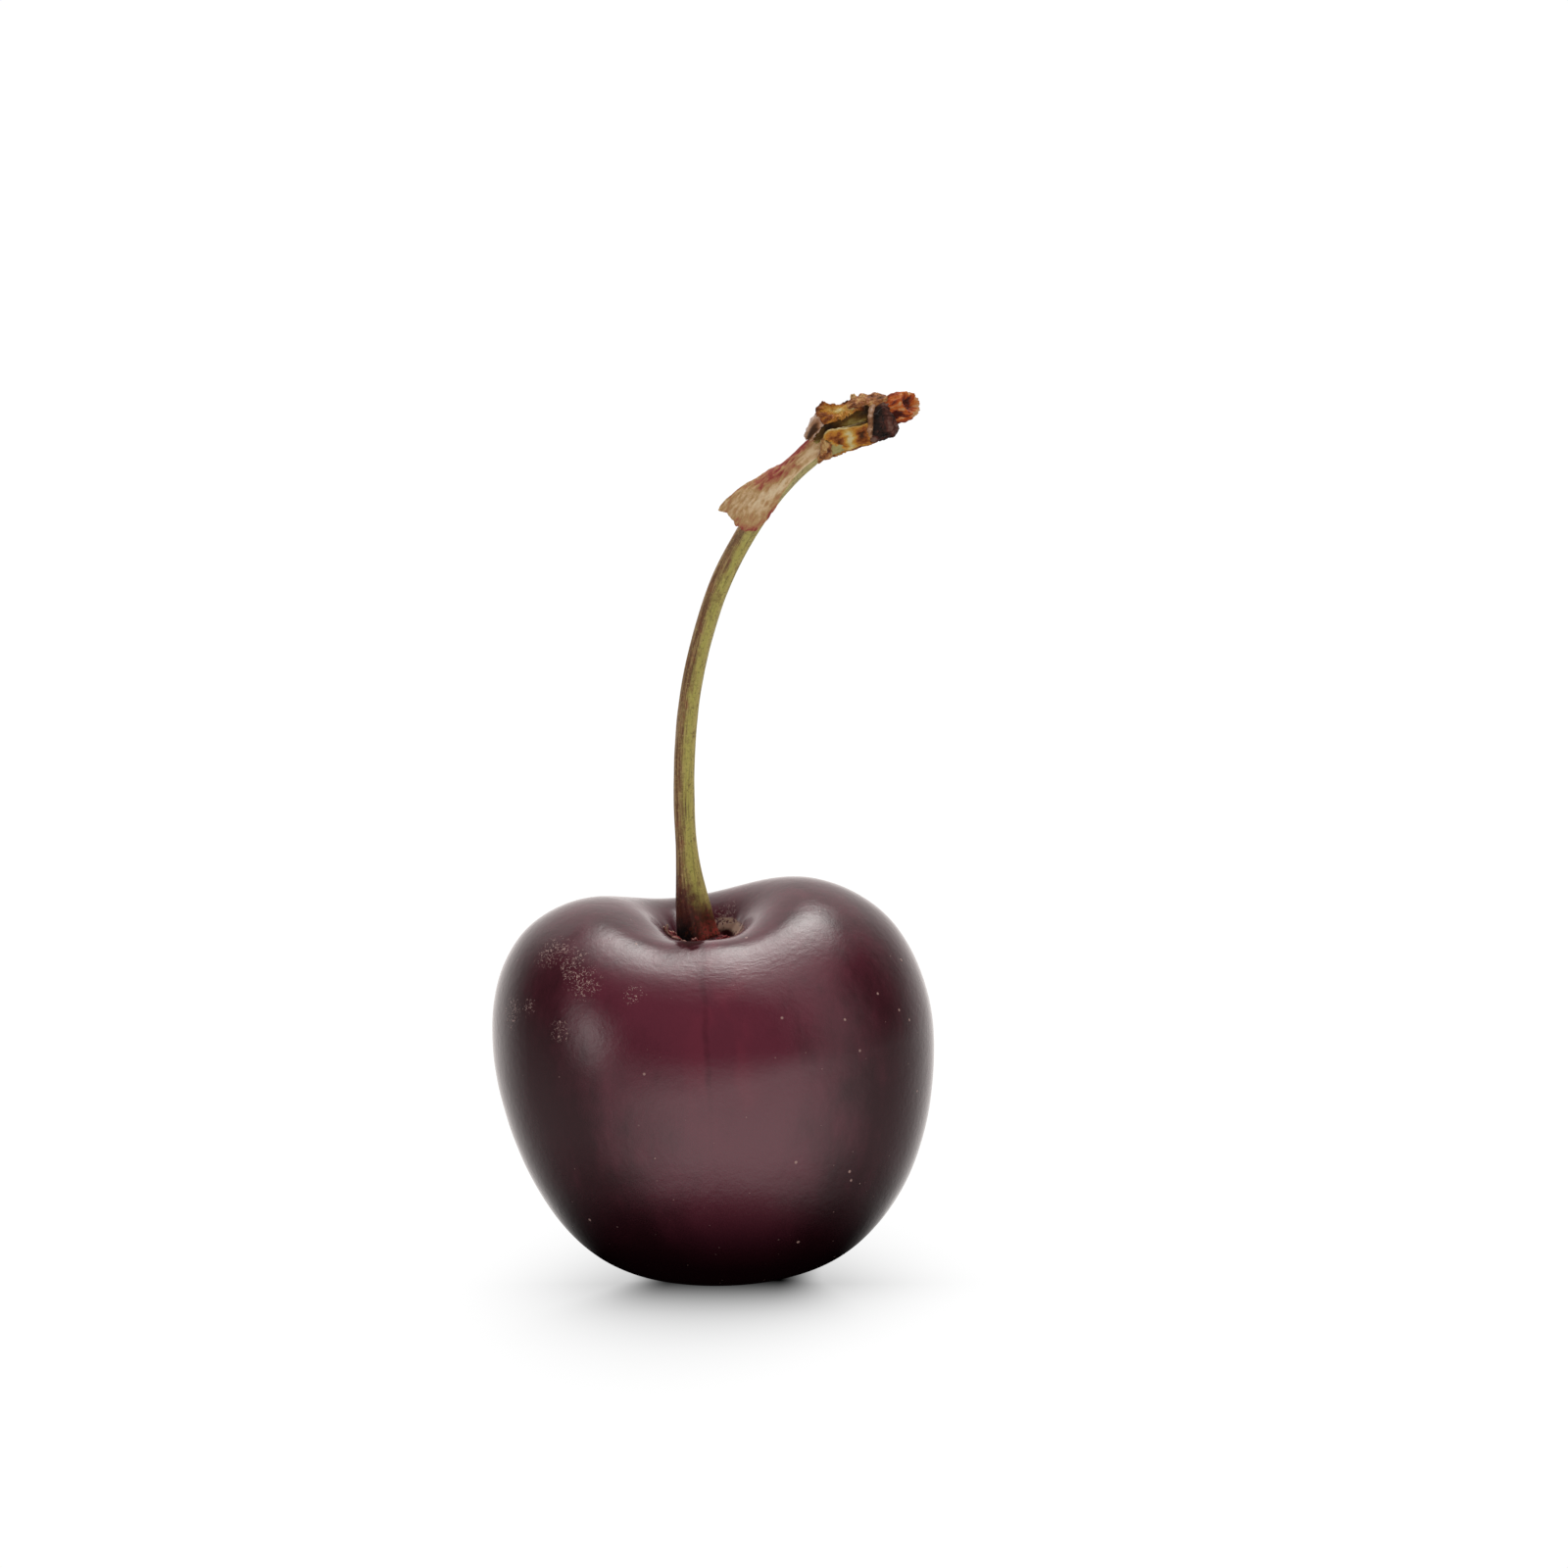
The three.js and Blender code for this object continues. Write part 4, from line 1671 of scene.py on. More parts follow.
@dataclass
class Bract:
    """The papery bract: it wraps the stalk under the scales and opens downwards into a free lobe."""

    line: StalkLine
    finish: TornFinish = PAPERY_LEAF
    net: Net = BRACT_NET

    def build(self) -> bpy.types.Object:
        """Builds and dresses the bract.

        Returns:
            The new piece.
        """
        sheet = TornSheet(
            self.line,
            "papery_bract",
            "stalk_bract",
            self.net,
            seed=41,
            thickness=0.1,
            ragged=0.014,
            wrinkle=0.035,
            roll=0.03,
            rim_tone=-0.05,
            fibre_size=0.18,
            rows=240,
            columns=130,
        )
        return sheet.build(Slot.PAPERY, self.finish.make())


@dataclass(frozen=True)
class Scale:
    """One dried scale: its look, how ragged its edges are, how far they roll, its rim's added tone, and its net."""

    node: str
    look: ScaleLook
    ragged: float
    roll: float
    rim_tone: float
    net: Net


# The rows of a scale's net follow one another along the scale's length.
# A point's tone is partly the scale's own colour and partly painted shade, deeper where a scale lies in the shade of
# the others.
SCALES = (
    Scale("upper_inner_scale", ScaleLook.OLIVE, 0.04, 0.0, 0.1, (
        ((33.9, -1.2, 0.4, 0.8), (33.8, -0.85, 0.75, 0.5), (33.8, -0.45, 0.85, 0.0)),
        ((35.0, -1.5, 0.4, 1.0), (35.05, -1.05, 0.75, 1.0), (35.1, -0.6, 0.85, 1.0)),
        ((35.9, -1.5, 0.4, 0.9), (35.9, -1.05, 0.75, 0.8), (35.9, -0.5, 0.85, 0.4)),
        ((36.8, -1.4, 0.4, 0.9), (36.8, -0.95, 0.75, 0.75), (36.8, -0.35, 0.9, 0.25)),
        ((37.9, -1.35, 0.4, 0.9), (37.9, -0.8, 0.75, 0.9), (37.6, -0.2, 0.9, 0.9)),
    )),
    Scale("lower_inner_scale", ScaleLook.OLIVE, 0.05, 0.0, 0.1, (
        ((33.7, -0.5, 0.85, -0.1), (33.9, 0.2, 0.82, -0.2), (34.1, 0.65, 0.3, -0.3)),
        ((35.2, -0.3, 0.85, 0.7), (35.2, 0.4, 0.8, -0.1), (35.2, 0.85, 0.3, -0.4)),
        ((36.3, -0.3, 0.85, 0.2), (36.3, 0.4, 0.8, 0.4), (36.3, 0.85, 0.3, 0.4)),
        ((37.5, -0.3, 0.85, 0.9), (37.5, 0.4, 0.85, 0.8), (37.5, 0.9, 0.3, 0.9)),
    )),
    Scale("back_inner_scale", ScaleLook.OLIVE, 0.05, 0.0, 0.1, (
        ((34.2, 0.6, -0.4, 0.4), (34.2, 0.1, -0.8, 0.4), (34.2, -0.6, -0.6, 0.5)),
        ((35.3, 0.75, -0.4, 0.5), (35.3, 0.1, -0.9, 0.5), (35.3, -0.75, -0.6, 0.6)),
        ((36.4, 0.8, -0.4, 0.7), (36.4, 0.1, -0.95, 0.7), (36.4, -0.85, -0.6, 0.7)),
        ((37.5, 0.9, -0.4, 0.9), (37.5, 0.1, -1.0, 0.9), (37.5, -0.9, -0.6, 0.9)),
    )),
    Scale("pale_flap_scale", ScaleLook.PALE, 0.08, 0.05, -0.2, (
        ((33.45, -1.25, 0.2, 0.0), (33.45, -1.1, 0.45, 0.2), (33.5, -0.98, 0.6, 1.0), (33.6, -0.8, 0.75, 0.5)),
        ((33.95, -1.65, 0.1, -0.1), (34.0, -1.42, 0.5, 0.5), (34.0, -1.2, 0.75, 1.4), (34.0, -0.9, 0.9, 0.5)),
        ((34.5, -1.95, 0.0, 0.0), (34.6, -1.65, 0.55, 0.6), (34.55, -1.42, 0.8, 0.9), (34.5, -1.1, 0.95, 0.2)),
        ((35.05, -2.1, 0.0, 0.0), (35.1, -1.8, 0.5, 0.0), (35.05, -1.55, 0.7, 0.0), (35.0, -1.3, 0.75, 0.3)),
        ((35.7, -1.75, 0.0, 0.4), (35.65, -1.5, 0.3, 0.4), (35.6, -1.35, 0.45, 0.4), (35.5, -1.2, 0.6, 0.5)),
    )),
    Scale("upper_shell_scale", ScaleLook.OCHRE, 0.15, 0.12, 0.1, (
        ((35.05, -2.5, 0.5, 0.85), (34.8, -2.15, 0.95, 0.8), (34.8, -1.6, 1.15, 0.65), (34.85, -1.25, 1.15, 0.45)),
        ((35.45, -2.45, 0.45, 0.8), (35.4, -1.95, 0.7, 0.5), (35.4, -1.6, 0.95, 0.6), (35.35, -1.2, 1.3, 0.45)),
        ((35.95, -1.95, 0.4, 0.65), (35.9, -1.75, 0.6, 0.2), (35.9, -1.5, 0.85, 0.3), (35.8, -1.05, 1.3, 0.45)),
        ((36.4, -1.8, 0.35, 0.8), (36.4, -1.65, 0.55, 0.5), (36.35, -1.45, 0.8, 0.4), (36.25, -1.05, 1.25, 0.45)),
        ((36.95, -1.75, 0.3, 0.75), (36.9, -1.6, 0.5, 0.6), (36.9, -1.35, 0.8, 0.1), (36.85, -1.08, 1.1, 0.5)),
        ((37.5, -1.6, 0.2, 0.8), (37.4, -1.4, 0.5, 0.8), (37.4, -1.15, 0.75, 0.8), (37.4, -1.0, 1.0, 0.8)),
    )),
    Scale("ridge_scale", ScaleLook.CURLED, 0.28, 0.06, 0.1, (
        ((36.5, -1.7, 0.3, 0.5), (36.55, -1.65, 0.7, 0.35), (36.5, -1.4, 1.0, 0.4)),
        ((36.9, -1.75, 0.25, 0.7), (36.85, -1.6, 0.7, 0.6), (36.8, -1.4, 1.05, 0.85)),
        ((37.03, -2.25, 0.25, 0.35), (37.0, -1.65, 0.7, 0.5), (36.95, -1.35, 1.1, 0.9)),
        ((37.16, -1.7, 0.2, 0.85), (37.2, -1.6, 0.7, 0.5), (37.15, -1.3, 1.1, 0.8)),
        ((37.5, -1.9, 0.1, 0.4), (37.55, -1.6, 0.7, 0.4), (37.5, -1.25, 1.05, 0.7)),
        ((37.85, -1.55, 0.0, 0.75), (37.85, -1.45, 0.7, 0.8), (37.85, -1.15, 1.1, 0.4)),
        ((38.15, -1.7, 0.0, 0.4), (38.25, -1.35, 0.7, 0.45), (38.2, -1.1, 1.1, 0.8)),
        ((38.55, -1.35, -0.1, 0.8), (38.55, -1.25, 0.65, 0.7), (38.5, -1.1, 1.05, 0.4)),
        ((38.95, -1.45, -0.1, 0.5), (38.85, -1.25, 0.6, 0.5), (38.75, -1.05, 0.95, 0.9)),
    )),
    Scale("amber_lower_scale", ScaleLook.OCHRE, 0.025, 0.12, -0.2, (
        ((34.4, -0.55, 1.2, 0.4), (34.55, -0.3, 1.2, 0.5), (34.7, 0.0, 1.05, 0.6), (34.9, 0.15, 0.9, 0.5)),
        ((34.8, -0.95, 1.4, 0.4), (34.95, -0.45, 1.2, 0.8), (35.0, 0.0, 1.05, 0.9), (35.1, 0.3, 0.8, 0.4)),
        ((35.4, -0.86, 1.5, 0.4), (35.4, -0.25, 1.15, 0.7), (35.4, 0.3, 1.1, 0.8), (35.3, 0.7, 0.7, 0.6)),
        ((36.0, -0.56, 1.5, 0.45), (35.95, -0.1, 1.15, 0.15), (35.85, 0.45, 1.1, 0.05), (35.8, 0.85, 0.65, 0.5)),
        ((36.7, -0.38, 1.5, 0.55), (36.6, 0.1, 1.2, 1.0), (36.5, 0.55, 1.15, 1.0), (36.4, 0.92, 0.65, 0.8)),
        ((37.35, -0.3, 1.4, 0.75), (37.2, 0.2, 1.2, 0.85), (37.1, 0.7, 1.1, 0.7), (37.0, 1.1, 0.6, 0.9)),
    )),
    Scale("curled_lower_scale", ScaleLook.CURLED, 0.36, 0.14, 0.0, (
        ((34.65, -0.35, 1.2, 0.5), (34.5, -0.5, 1.3, 0.2), (34.35, -0.5, 1.3, 0.2), (34.2, -0.3, 1.05, 0.4)),
        ((34.55, -0.05, 1.15, 0.8), (34.35, -0.1, 1.4, 0.25), (34.15, -0.1, 1.4, 0.5), (34.0, 0.0, 1.1, 0.7)),
        ((34.4, 0.3, 1.2, 0.4), (34.2, 0.2, 1.25, 0.9), (34.0, 0.15, 1.35, 0.3), (33.8, 0.15, 1.0, 0.6)),
        ((34.3, 0.6, 1.05, 0.3), (34.1, 0.4, 1.3, 0.6), (33.75, 0.35, 1.15, 0.7), (33.5, 0.3, 0.95, 0.4)),
        ((34.3, 1.0, 0.95, 0.5), (33.95, 0.6, 1.2, 0.6), (33.6, 0.5, 1.0, 0.8), (33.25, 0.6, 0.85, 0.4)),
    )),
    Scale("under_scale", ScaleLook.OCHRE, 0.2, 0.08, 0.1, (
        ((34.9, 0.35, 0.7, 0.2), (34.9, 0.6, 0.2, 0.3), (34.9, 0.6, -0.5, 0.7)),
        ((35.5, 0.75, 0.7, 0.3), (35.5, 1.0, 0.1, 0.5), (35.5, 0.85, -0.6, 0.7)),
        ((36.3, 0.85, 0.75, 0.75), (36.3, 1.1, 0.1, 0.8), (36.3, 0.95, -0.65, 0.8)),
        ((37.4, 0.95, 0.7, 0.8), (37.4, 1.15, 0.1, 0.85), (37.4, 1.05, -0.7, 0.9)),
    )),
    Scale("strap_scale", ScaleLook.PALE, 0.08, 0.06, 0.15, (
        ((38.2, -1.38, 0.55, 0.7), (38.38, -1.37, 0.7, 0.4), (38.53, -1.32, 0.6, 0.8)),
        ((37.82, -1.1, 1.02, 0.75), (37.96, -1.08, 1.14, 0.3), (38.08, -1.05, 1.02, 0.85)),
        ((37.53, -0.67, 1.28, 0.8), (37.67, -0.67, 1.4, 0.35), (37.79, -0.62, 1.28, 0.7)),
        ((37.38, -0.17, 1.36, 0.6), (37.5, -0.17, 1.46, 0.5), (37.64, -0.12, 1.36, 0.8)),
        ((37.11, 0.27, 1.28, 0.8), (37.24, 0.32, 1.38, 0.5), (37.37, 0.37, 1.28, 0.7)),
        ((36.92, 0.75, 1.1, 0.85), (37.05, 0.8, 1.2, 0.6), (37.17, 0.85, 1.1, 0.8)),
    )),
    Scale("back_scale", ScaleLook.OCHRE, 0.16, 0.12, 0.15, (
        ((33.7, 0.75, -0.5, 0.6), (33.6, 0.4, -0.9, 0.4), (33.7, -0.1, -1.0, 0.6)),
        ((34.6, 0.9, -0.5, 0.5), (34.6, 0.45, -1.05, 0.3), (34.6, -0.2, -1.1, 0.5)),
        ((35.6, 1.0, -0.5, 0.5), (35.6, 0.5, -1.15, 0.5), (35.6, -0.25, -1.2, 0.6)),
        ((37.2, 1.05, -0.5, 0.8), (37.2, 0.5, -1.2, 0.8), (37.2, -0.3, -1.25, 0.8)),
    )),
    Scale("upper_back_scale", ScaleLook.OCHRE, 0.16, 0.12, 0.15, (
        ((33.8, -0.1, -1.05, 0.6), (33.7, -0.75, -0.95, 0.45), (33.8, -1.3, -0.5, 0.6)),
        ((34.7, -0.1, -1.25, 0.5), (34.7, -0.9, -1.1, 0.3), (34.7, -1.55, -0.5, 0.5)),
        ((35.8, -0.1, -1.3, 0.5), (35.8, -1.0, -1.15, 0.45), (35.8, -1.6, -0.4, 0.6)),
        ((37.3, -0.2, -1.3, 0.8), (37.3, -1.0, -1.15, 0.75), (37.3, -1.5, -0.4, 0.8)),
    )),
)


@dataclass
class BudScales:
    """All the dried scales round the stalk's upper end."""

    line: StalkLine
    scales: tuple[Scale, ...] = SCALES
    first_seed: int = 60

    def build(self) -> list[bpy.types.Object]:
        """Builds and dresses every scale.

        Returns:
            The new pieces.
        """
        materials = {look: look.value.make() for look in ScaleLook}
        pieces = []
        for seed, scale in enumerate(self.scales, start=self.first_seed):
            sheet = TornSheet(
                self.line,
                "dried_" + scale.node,
                scale.node,
                scale.net,
                seed,
                ragged=scale.ragged,
                roll=scale.roll,
                rim_tone=scale.rim_tone,
            )
            slot = Slot.PAPERY if scale.look is ScaleLook.PALE else Slot.SCALE
            pieces.append(sheet.build(slot, materials[scale.look]))
        return pieces


# ------------------------------------------------------------------ the torn spur


@dataclass
class Bark:
    """The spur's collar of dark bark: it reaches further down the stalk on the hollow side.

    It is grey at its lower end on the hollow side, and turns purple towards the torn wood. The heights of its
    plates and chips and the depth of its cracks are shares of its radius.
    """

    line: StalkLine
    finish: TornFinish = SPUR_BARK
    start: float = 37.2
    end: float = 38.95
    slant: float = 0.5
    radius: float = 1.26
    end_radius: float = 0.62
    ragged_end: float = 0.15
    rounded_end: Span = (-0.05, 0.2)
    plate: float = 0.07
    chip: float = 0.05
    crack: float = 0.09
    grey_along: float = 37.0
    purple_span: Span = (38.1, 38.7)
    rows: int = 110
    columns: int = 180

    def build(self) -> bpy.types.Object:
        """Builds and dresses the bark.

        Returns:
            The new piece.
        """
        grain = Grain(81)
        rise, angle = grid_of(np.linspace(0, 1, self.rows), full_turn(self.columns))
        side = np.sin(angle)
        around = on_tube(angle, 1.3, rise * 0.8)
        start = self.start - self.slant * side * (1 + 0.3 * grain(around, 0.8))
        along = lerp(start, self.end + self.ragged_end * grain.rough(around * (1, 1, 0), 0.7, 3), rise)
        place = self.line.beside(along, self.radius, angle)
        ends = smoothstep(np.minimum(rise, 1 - rise), *self.rounded_end) ** 0.5
        plates = self.plate * grain.rough(place, 0.8, 2) + self.chip * grain.rough(place, 0.3, 3)
        cracks = self.crack * fading(grain(place, 0.7), 0.08)
        out = self.radius * lerp(self.end_radius, 1.0, ends) * (1 + plates - cracks)
        grey = bump_at(along, self.grey_along, 0.7) * smoothstep(side, 0.2, 0.9)
        purple = smoothstep(along, *self.purple_span) + smoothstep(side, -0.5, -0.9)
        # Painted shade: the tone is deeper in the cracks.
        tone = 0.72 + 0.3 * grain.rough(place, 0.6, 3) - 0.8 * grey - 0.35 * purple + 2 * cracks
        marks = {"tone": tone, "fibre": 0.5 + 0.5 * grain(place, 0.2)}
        piece = solid_of("rough_spur_bark", Sheet(self.line.beside(along, out, angle), marks))
        return dress(piece, "spur_bark", Slot.BARK, self.finish.make())


@dataclass
class TornWood:
    """The torn end of the spur: a ragged orange lump with a hollow face and a pit, both darkened with painted shade.

    The face and the pit are directions: along the line, to its hollow side and to the front. Their fades run from
    outside them to inside, in radians. Depths and heights are shares of the lump's half sizes.
    """

    line: StalkLine
    finish: TornFinish = TORN_WOOD
    along: float = 39.3
    side: float = -0.42
    front: float = 0.1
    half_along: float = 1.32
    half_side: float = 0.92
    half_front: float = 0.95
    face: tuple[float, float, float] = (0.86, -0.2, 0.46)
    face_fade: Span = (0.82, 0.6)
    face_depth: float = 0.5
    rim_off_face: float = 0.92
    rim_width: float = 0.14
    rim_height: float = 0.08
    pit: tuple[float, float, float] = (-0.12, 0.32, 0.9)
    pit_fade: Span = (0.46, 0.16)
    pit_depth: float = 0.28
    fibre_height: float = 0.08
    rows: int = 130
    columns: int = 190
    first_turn: float = 0.03

    def build(self) -> bpy.types.Object:
        """Builds and dresses the wood.

        Returns:
            The new piece.
        """
        grain = Grain(82)
        turns = np.linspace(self.first_turn, math.pi - self.first_turn, self.rows)
        turn, angle = grid_of(turns, full_turn(self.columns))
        way = np.stack([-np.cos(turn), np.sin(turn) * np.sin(angle), np.sin(turn) * np.cos(angle)], -1)
        off_face = self._off(way, self.face) + 0.12 * grain.rough(way, 0.5, 3)
        off_pit = self._off(way, self.pit) + 0.1 * grain.rough(way + 5, 0.4, 3)
        inside, sunk = smoothstep(off_face, *self.face_fade), smoothstep(off_pit, *self.pit_fade)
        rim = bump_at(off_face, self.rim_off_face, self.rim_width)
        root = smoothstep(-way[..., 0], 0.2, 0.7)
        fibres = grain.rough(way * (0.5, 2.2, 2.2), 0.4, 3)
        crumbs = grain.rough(way, 0.55, 4)
        out = 1 + self.fibre_height * fibres + (0.1 + 0.15 * root) * crumbs
        out = out - self.face_depth * inside + self.rim_height * rim - self.pit_depth * sunk
        shape = way * out[..., None] * (self.half_along, self.half_side, self.half_front)
        points = self.line.offset(self.along + shape[..., 0], self.side + shape[..., 1], self.front + shape[..., 2])
        tip = smoothstep(way[..., 0], 0.1, 0.9)
        # Painted shade: the tone is deeper in the pit and over the hollow face.
        tone = 0.42 + 0.4 * crumbs + 0.25 * fibres + 0.7 * sunk - 0.42 * np.maximum(rim, 0.35 * tip)
        tone = lerp(tone, 0.84 + 0.3 * crumbs, inside)
        piece = solid_of("torn_spur_end", Sheet(points, {"tone": tone, "fibre": 0.5 + 0.5 * fibres}))
        return dress(piece, "torn_spur_wood", Slot.TORN_WOOD, self.finish.make())

    @staticmethod
    def _off(way: Array, middle: tuple[float, float, float]) -> Array:
        """The angle between each direction and a middle one, in radians."""
        return np.arccos(np.clip((way * (np.array(middle) / np.linalg.norm(middle))).sum(-1), -1, 1))


# ------------------------------------------------------------------ the studio


def window(value: Value, middle: float, half: float, soft: float) -> Value:
    """1 near the middle and 0 beyond the half width, with an edge that is soft both inside and outside it."""
    return abs(value - middle).between(half + soft, half - soft)


@dataclass(frozen=True)
class DomePanel:
    """A soft-edged panel of light on the dome round the cherry.

    Its place and half sizes are in degrees. Azimuth is 0 at the camera's side and grows to the right.
    """

    name: str
    radiance: float
    azimuth: float
    elevation: float
    half_width: float
    half_height: float
    soft_side: float
    soft_top: float

    def light(self, azimuth: Value, elevation: Value) -> Value:
        """The panel's light in each direction."""
        across = window(azimuth, self.azimuth, self.half_width, self.soft_side)
        return across * window(elevation, self.elevation, self.half_height, self.soft_top) * self.radiance


@dataclass(frozen=True)
class CeilingPanel:
    """A soft-edged softbox on the ceiling. Its place and half sizes are shares of the ceiling's height."""

    name: str
    radiance: float
    x: float
    y: float
    half_width: float
    half_depth: float
    soft: float

    def light(self, x: Value, y: Value) -> Value:
        """The softbox's light towards each place on the ceiling."""
        across = window(x, self.x, self.half_width, self.soft)
        return across * window(y, self.y, self.half_depth, self.soft) * self.radiance


@dataclass(frozen=True)
class BackWall:
    """The wide white wall behind. Each fade goes from no light to full light, in degrees."""

    radiance: float = 0.92
    colour: Colour = (1.0, 0.93, 0.91)
    middle: float = 3.5
    side_fade: Span = (82.5, 22.5)
    top_fade: Span = (56.0, 48.0)
    bottom_fade: Span = (-42.0, -6.0)

    def light(self, off_back: Value, elevation: Value) -> Value:
        """The wall's light, by the turn from straight behind and the elevation."""
        upright = elevation.between(*self.top_fade) * elevation.between(*self.bottom_fade)
        return abs(off_back - self.middle).between(*self.side_fade) * upright * self.radiance


@dataclass(frozen=True)
class PaleTable:
    """The light that the pale table throws back: brightest in front, and nothing close under the cherry.

    The turns and elevations are in degrees. The reach is a share of the height over the table.
    """

    front_light: float = 1.38
    side_light: float = 0.32
    middle: float = 13.0
    side_fade: Span = (82.0, 16.0)
    top_fade: Span = (22.0, -22.0)
    reach_fade: Span = (0.43, 2.1)

    def light(self, azimuth: Value, elevation: Value, reach: Value) -> Value:
        """The table's light.

        Args:
            azimuth: The turn from the camera's side.
            elevation: The elevation, which is negative towards the table.
            reach: How far off the table is met.

        Returns:
            The light in each direction.
        """
        front = abs(azimuth - self.middle).between(*self.side_fade)
        shown = elevation.between(*self.top_fade) * reach.between(*self.reach_fade)
        return shown * (front * self.front_light + (1.0 - front) * self.side_light)


@dataclass(frozen=True)
class FloorShadow:
    """The shadow painted on the floor: a dark one at the contact and a wide soft one. Both fall forwards and lean."""

    lean: float = 0.18
    contact_x: float = 0.2
    contact_front: float = 4.2
    contact_fade: float = 3.9
    contact_power: float = 1.3
    contact_half: float = 3.4
    contact_edge: float = 6.3
    contact_spread: float = 0.6
    back_fade: Span = (8.5, 2.0)
    wide: float = 0.65
    wide_y: float = -5.0
    wide_size: Span = (9.6, 9.2)
    wide_power: Span = (2.1, 1.2)

    def light_left(self, graph: Graph) -> Value:
        """The share of the floor's light that the shadow leaves.

        Args:
            graph: The floor's graph.

        Returns:
            The share, from 0 to 1.
        """
        x, y, _ = graph.split(graph.place())
        front = graph.larger(-y - self.contact_front, 0.0)
        aside = x - self.contact_x + front * self.lean
        beside = 1.0 - abs(aside).between(self.contact_half, self.contact_edge + front * self.contact_spread)
        fall = graph.math("EXPONENT", -((front / self.contact_fade) ** self.contact_power))
        contact = beside * fall * y.between(*self.back_fade)
        (width, depth), (side_power, front_power) = self.wide_size, self.wide_power
        around = abs(aside / width) ** side_power + abs((y - self.wide_y) / depth) ** front_power
        return (1.0 - graph.math("EXPONENT", -around) * self.wide) * (1.0 - contact)


@dataclass
class Studio:
    """The pale floor, the dome of soft light and the camera.

    A fade is where something starts to show and where it is whole. Sizes are in millimetres and angles in degrees.
    """

    dome: tuple[DomePanel, ...] = (
        DomePanel("left_softbox", 2.65, -54.5, 18.0, 8.0, 13.0, 14.0, 17.0),
        DomePanel("right_reflector", 0.58, 61.0, 52.0, 16.0, 45.0, 20.0, 16.0),
    )
    ceiling: tuple[CeilingPanel, ...] = (
        CeilingPanel("top_softbox", 8.8, 0.13, 0.4, 0.19, 0.2, 0.3),
        CeilingPanel("top_haze", 4.6, 0.05, 0.24, 0.3, 0.17, 0.63),
    )
    ceiling_fade: Span = (0.03, 0.1)
    wall: BackWall = BackWall()
    table: PaleTable = PaleTable()
    soft_white: Colour = (1.0, 0.985, 0.96)
    white: Colour = (1.0, 1.0, 1.0)
    dim_light: float = 0.02
    dim_fade: Span = (-3.0, 3.0)
    least_slope: float = 0.02
    floor_radii: tuple[float, ...] = (20.0, 60.0, 200.0, 800.0, 4000.0)
    floor_columns: int = 96
    floor_gap: float = 0.01
    floor_light: float = 1.03
    shadow: FloorShadow = FloorShadow()
    shade_size: float = 30.0
    shade_middle: tuple[float, float, float] = (-0.3, -3.0, 0.0)
    shade_stretch: tuple[float, float, float] = (1.3, 1.0, 1.0)
    shade_fade: Span = (22.0, 10.5)
    aim_shift: tuple[float, float, float] = (4.5, -0.5, 3.3)
    camera_distance: float = 330.0
    camera_elevation: float = 10.0
    lens: float = 119.6
    sensor: float = 36.0
    clip: Span = (0.01, 20.0)

    def build(self) -> None:
        """Makes everything that stands round the cherry."""
        level = CAD_LOW.z / MM - self.floor_gap
        self._build_floor(level)
        self._build_contact_shade(level)
        self._build_world()
        self._build_camera((CAD_LOW + CAD_HIGH) / 2 + Vector(self.aim_shift) * MM)
        view = bpy.context.scene.view_settings
        view.view_transform, view.look, view.exposure, view.gamma = "Standard", "None", 0.0, 1.0

    def _build_floor(self, level: float) -> None:
        """Lays a pale glowing floor just under the fruit's flat spot, with the fruit's shadow painted into its glow.
        It can be seen through from below.

        Args:
            level: The floor's height, in millimetres.
        """
        radii, angle = grid_of(np.array(self.floor_radii), full_turn(self.floor_columns))
        points = on_tube(angle, radii, np.full(angle.shape, level))
        middle, count = points.shape[0] * points.shape[1], self.floor_columns
        faces = Sheet(points).faces(flip=True) + [(c, (c + 1) % count, middle) for c in range(count)]
        floor = new_object("floor", np.concatenate([points.reshape(-1, 3), [[0, 0, level]]]), faces, {})
        material, graph = new_material("pale_floor")
        strength = self.shadow.light_left(graph) * self.floor_light
        upper = graph.node("ShaderNodeEmission", {}, {"Strength": strength})
        clear = graph.node("ShaderNodeBsdfTransparent", {}, {})
        below = graph.node("ShaderNodeNewGeometry", {}, {}).outputs["Backfacing"]
        graph.surface(graph.blend(below, upper, clear))
        floor.data.materials.append(material)
        floor.visible_diffuse = floor.visible_glossy = floor.visible_transmission = floor.visible_shadow = False

    def _build_contact_shade(self, level: float) -> None:
        """Lays a dark spot under the fruit, seen only by its skin, where the floor gets no light.

        Args:
            level: The floor's height, in millimetres.
        """
        size = self.shade_size
        corners = np.array([[-size, -size, level], [size, -size, level], [size, size, level], [-size, size, level]])
        shade = new_object("contact_shade", corners, [(0, 1, 2, 3)], {})
        material, graph = new_material("contact_shade")
        dark = graph.node("ShaderNodeEmission", {}, {"Strength": 0.0})
        clear = graph.node("ShaderNodeBsdfTransparent", {}, {})
        away = graph.distance(graph.place(self.shade_stretch), self.shade_middle)
        graph.surface(graph.blend(away.between(*self.shade_fade), clear, dark))
        shade.data.materials.append(material)
        shade.visible_camera = shade.visible_shadow = False

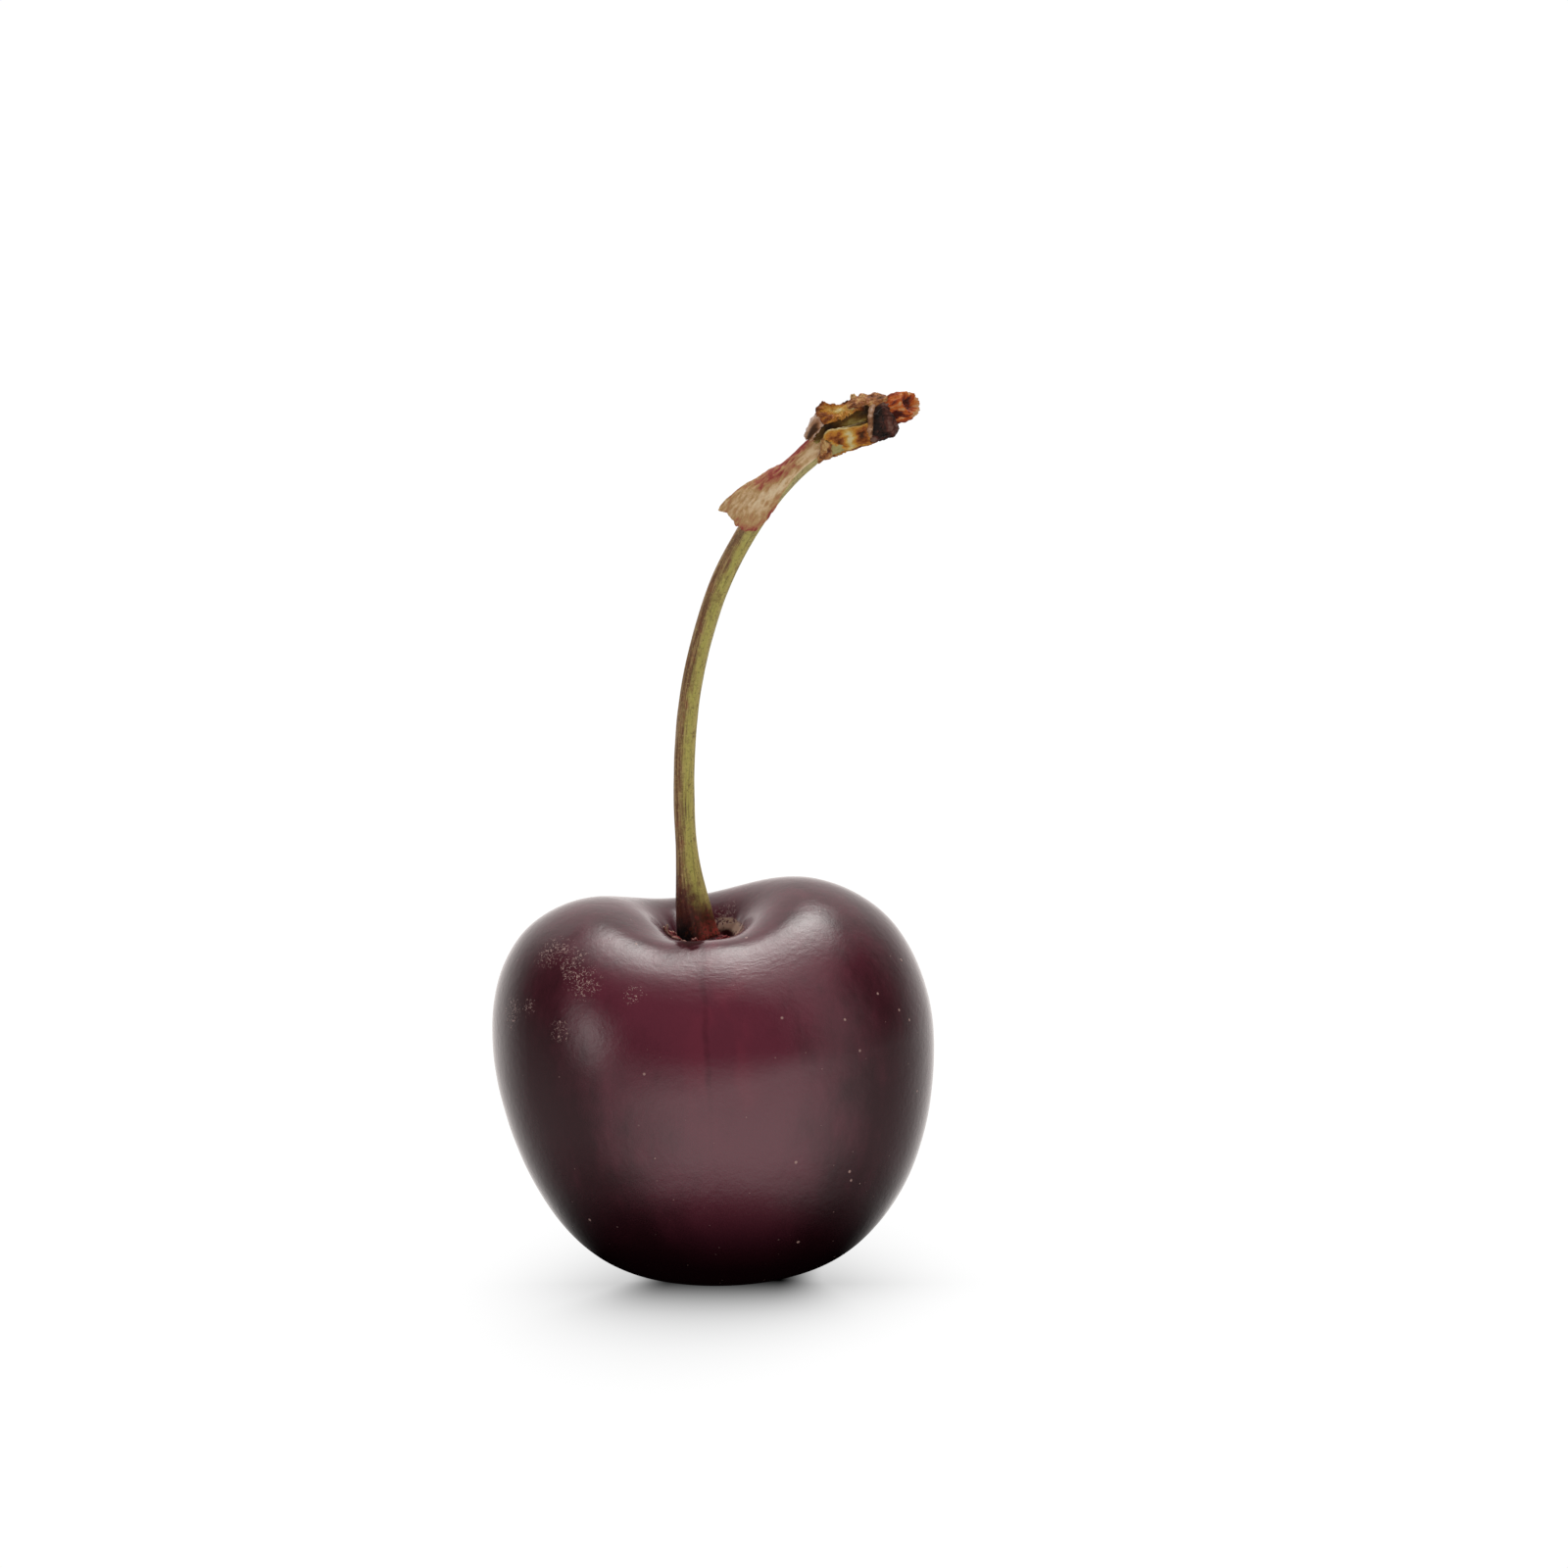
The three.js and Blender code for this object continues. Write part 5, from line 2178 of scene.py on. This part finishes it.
    def _build_world(self) -> None:
        """Makes the world: white all round for the camera, and for the cherry the studio's light by direction."""
        world = bpy.data.worlds.new("soft_studio")
        bpy.context.scene.world = world
        world.use_nodes = True
        graph = Graph(world.node_tree)
        x, y, z = graph.split(graph.node("ShaderNodeTexCoord", {}, {}).outputs["Generated"])
        azimuth, off_back = self._degrees(graph, "ARCTAN2", x, -y), self._degrees(graph, "ARCTAN2", -x, y)
        elevation = self._degrees(graph, "ARCSINE", z)
        wall = self.wall.light(off_back, elevation)
        reach = (1.0 - z * z) ** 0.5 / graph.larger(-z, self.least_slope)
        total = wall + self.table.light(azimuth, elevation, reach)
        total = total + elevation.between(*self.dim_fade) * self.dim_light
        for panel in self.dome:
            total = total + panel.light(azimuth, elevation)
        rise, overhead = graph.larger(z, self.least_slope), z.between(*self.ceiling_fade)
        for panel in self.ceiling:
            total = total + panel.light(x / rise, y / rise) * overhead
        seen = graph.value("ShaderNodeLightPath", {}, {}, "Is Camera Ray")
        tint = graph.mix(self.soft_white, self.wall.colour, wall / (total + 0.01))
        sockets = {"Color": graph.mix(tint, self.white, seen), "Strength": total + (1.0 - total) * seen}
        graph.surface(graph.node("ShaderNodeBackground", {}, sockets))

    @staticmethod
    def _degrees(graph: Graph, operation: str, *values: Value) -> Value:
        """An angle in degrees, from an operation that gives radians."""
        return graph.math(operation, *values) * math.degrees(1.0)

    def _build_camera(self, aim: Vector) -> None:
        """Sets the camera in front, a little above the cherry.

        Args:
            aim: The point that the camera looks at, in metres.
        """
        data = bpy.data.cameras.new("camera")
        data.lens, data.sensor_width = self.lens, self.sensor
        data.clip_start, data.clip_end = self.clip
        camera = bpy.data.objects.new("camera", data)
        elevation = math.radians(self.camera_elevation)
        back = Vector((0.0, -math.cos(elevation), math.sin(elevation)))
        camera.location = aim + back * self.camera_distance * MM
        camera.rotation_euler = back.to_track_quat("Z", "Y").to_euler()
        bpy.context.scene.collection.objects.link(camera)
        bpy.context.scene.camera = camera


# ------------------------------------------------------------------ everything together


def main() -> None:
    """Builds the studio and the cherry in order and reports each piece."""
    logging.basicConfig(level=logging.INFO, format="%(message)s")
    line = StalkLine()
    Studio().build()
    pieces = [Fruit().build(), Stalk(line).build(), CupRing().build(), Bract(line).build()]
    pieces += BudScales(line).build()
    pieces += [Bark(line).build(), TornWood(line).build()]
    for piece in pieces:
        LOG.info("%s has %d faces", piece.name, len(piece.data.polygons))


if __name__ == "__main__":
    main()
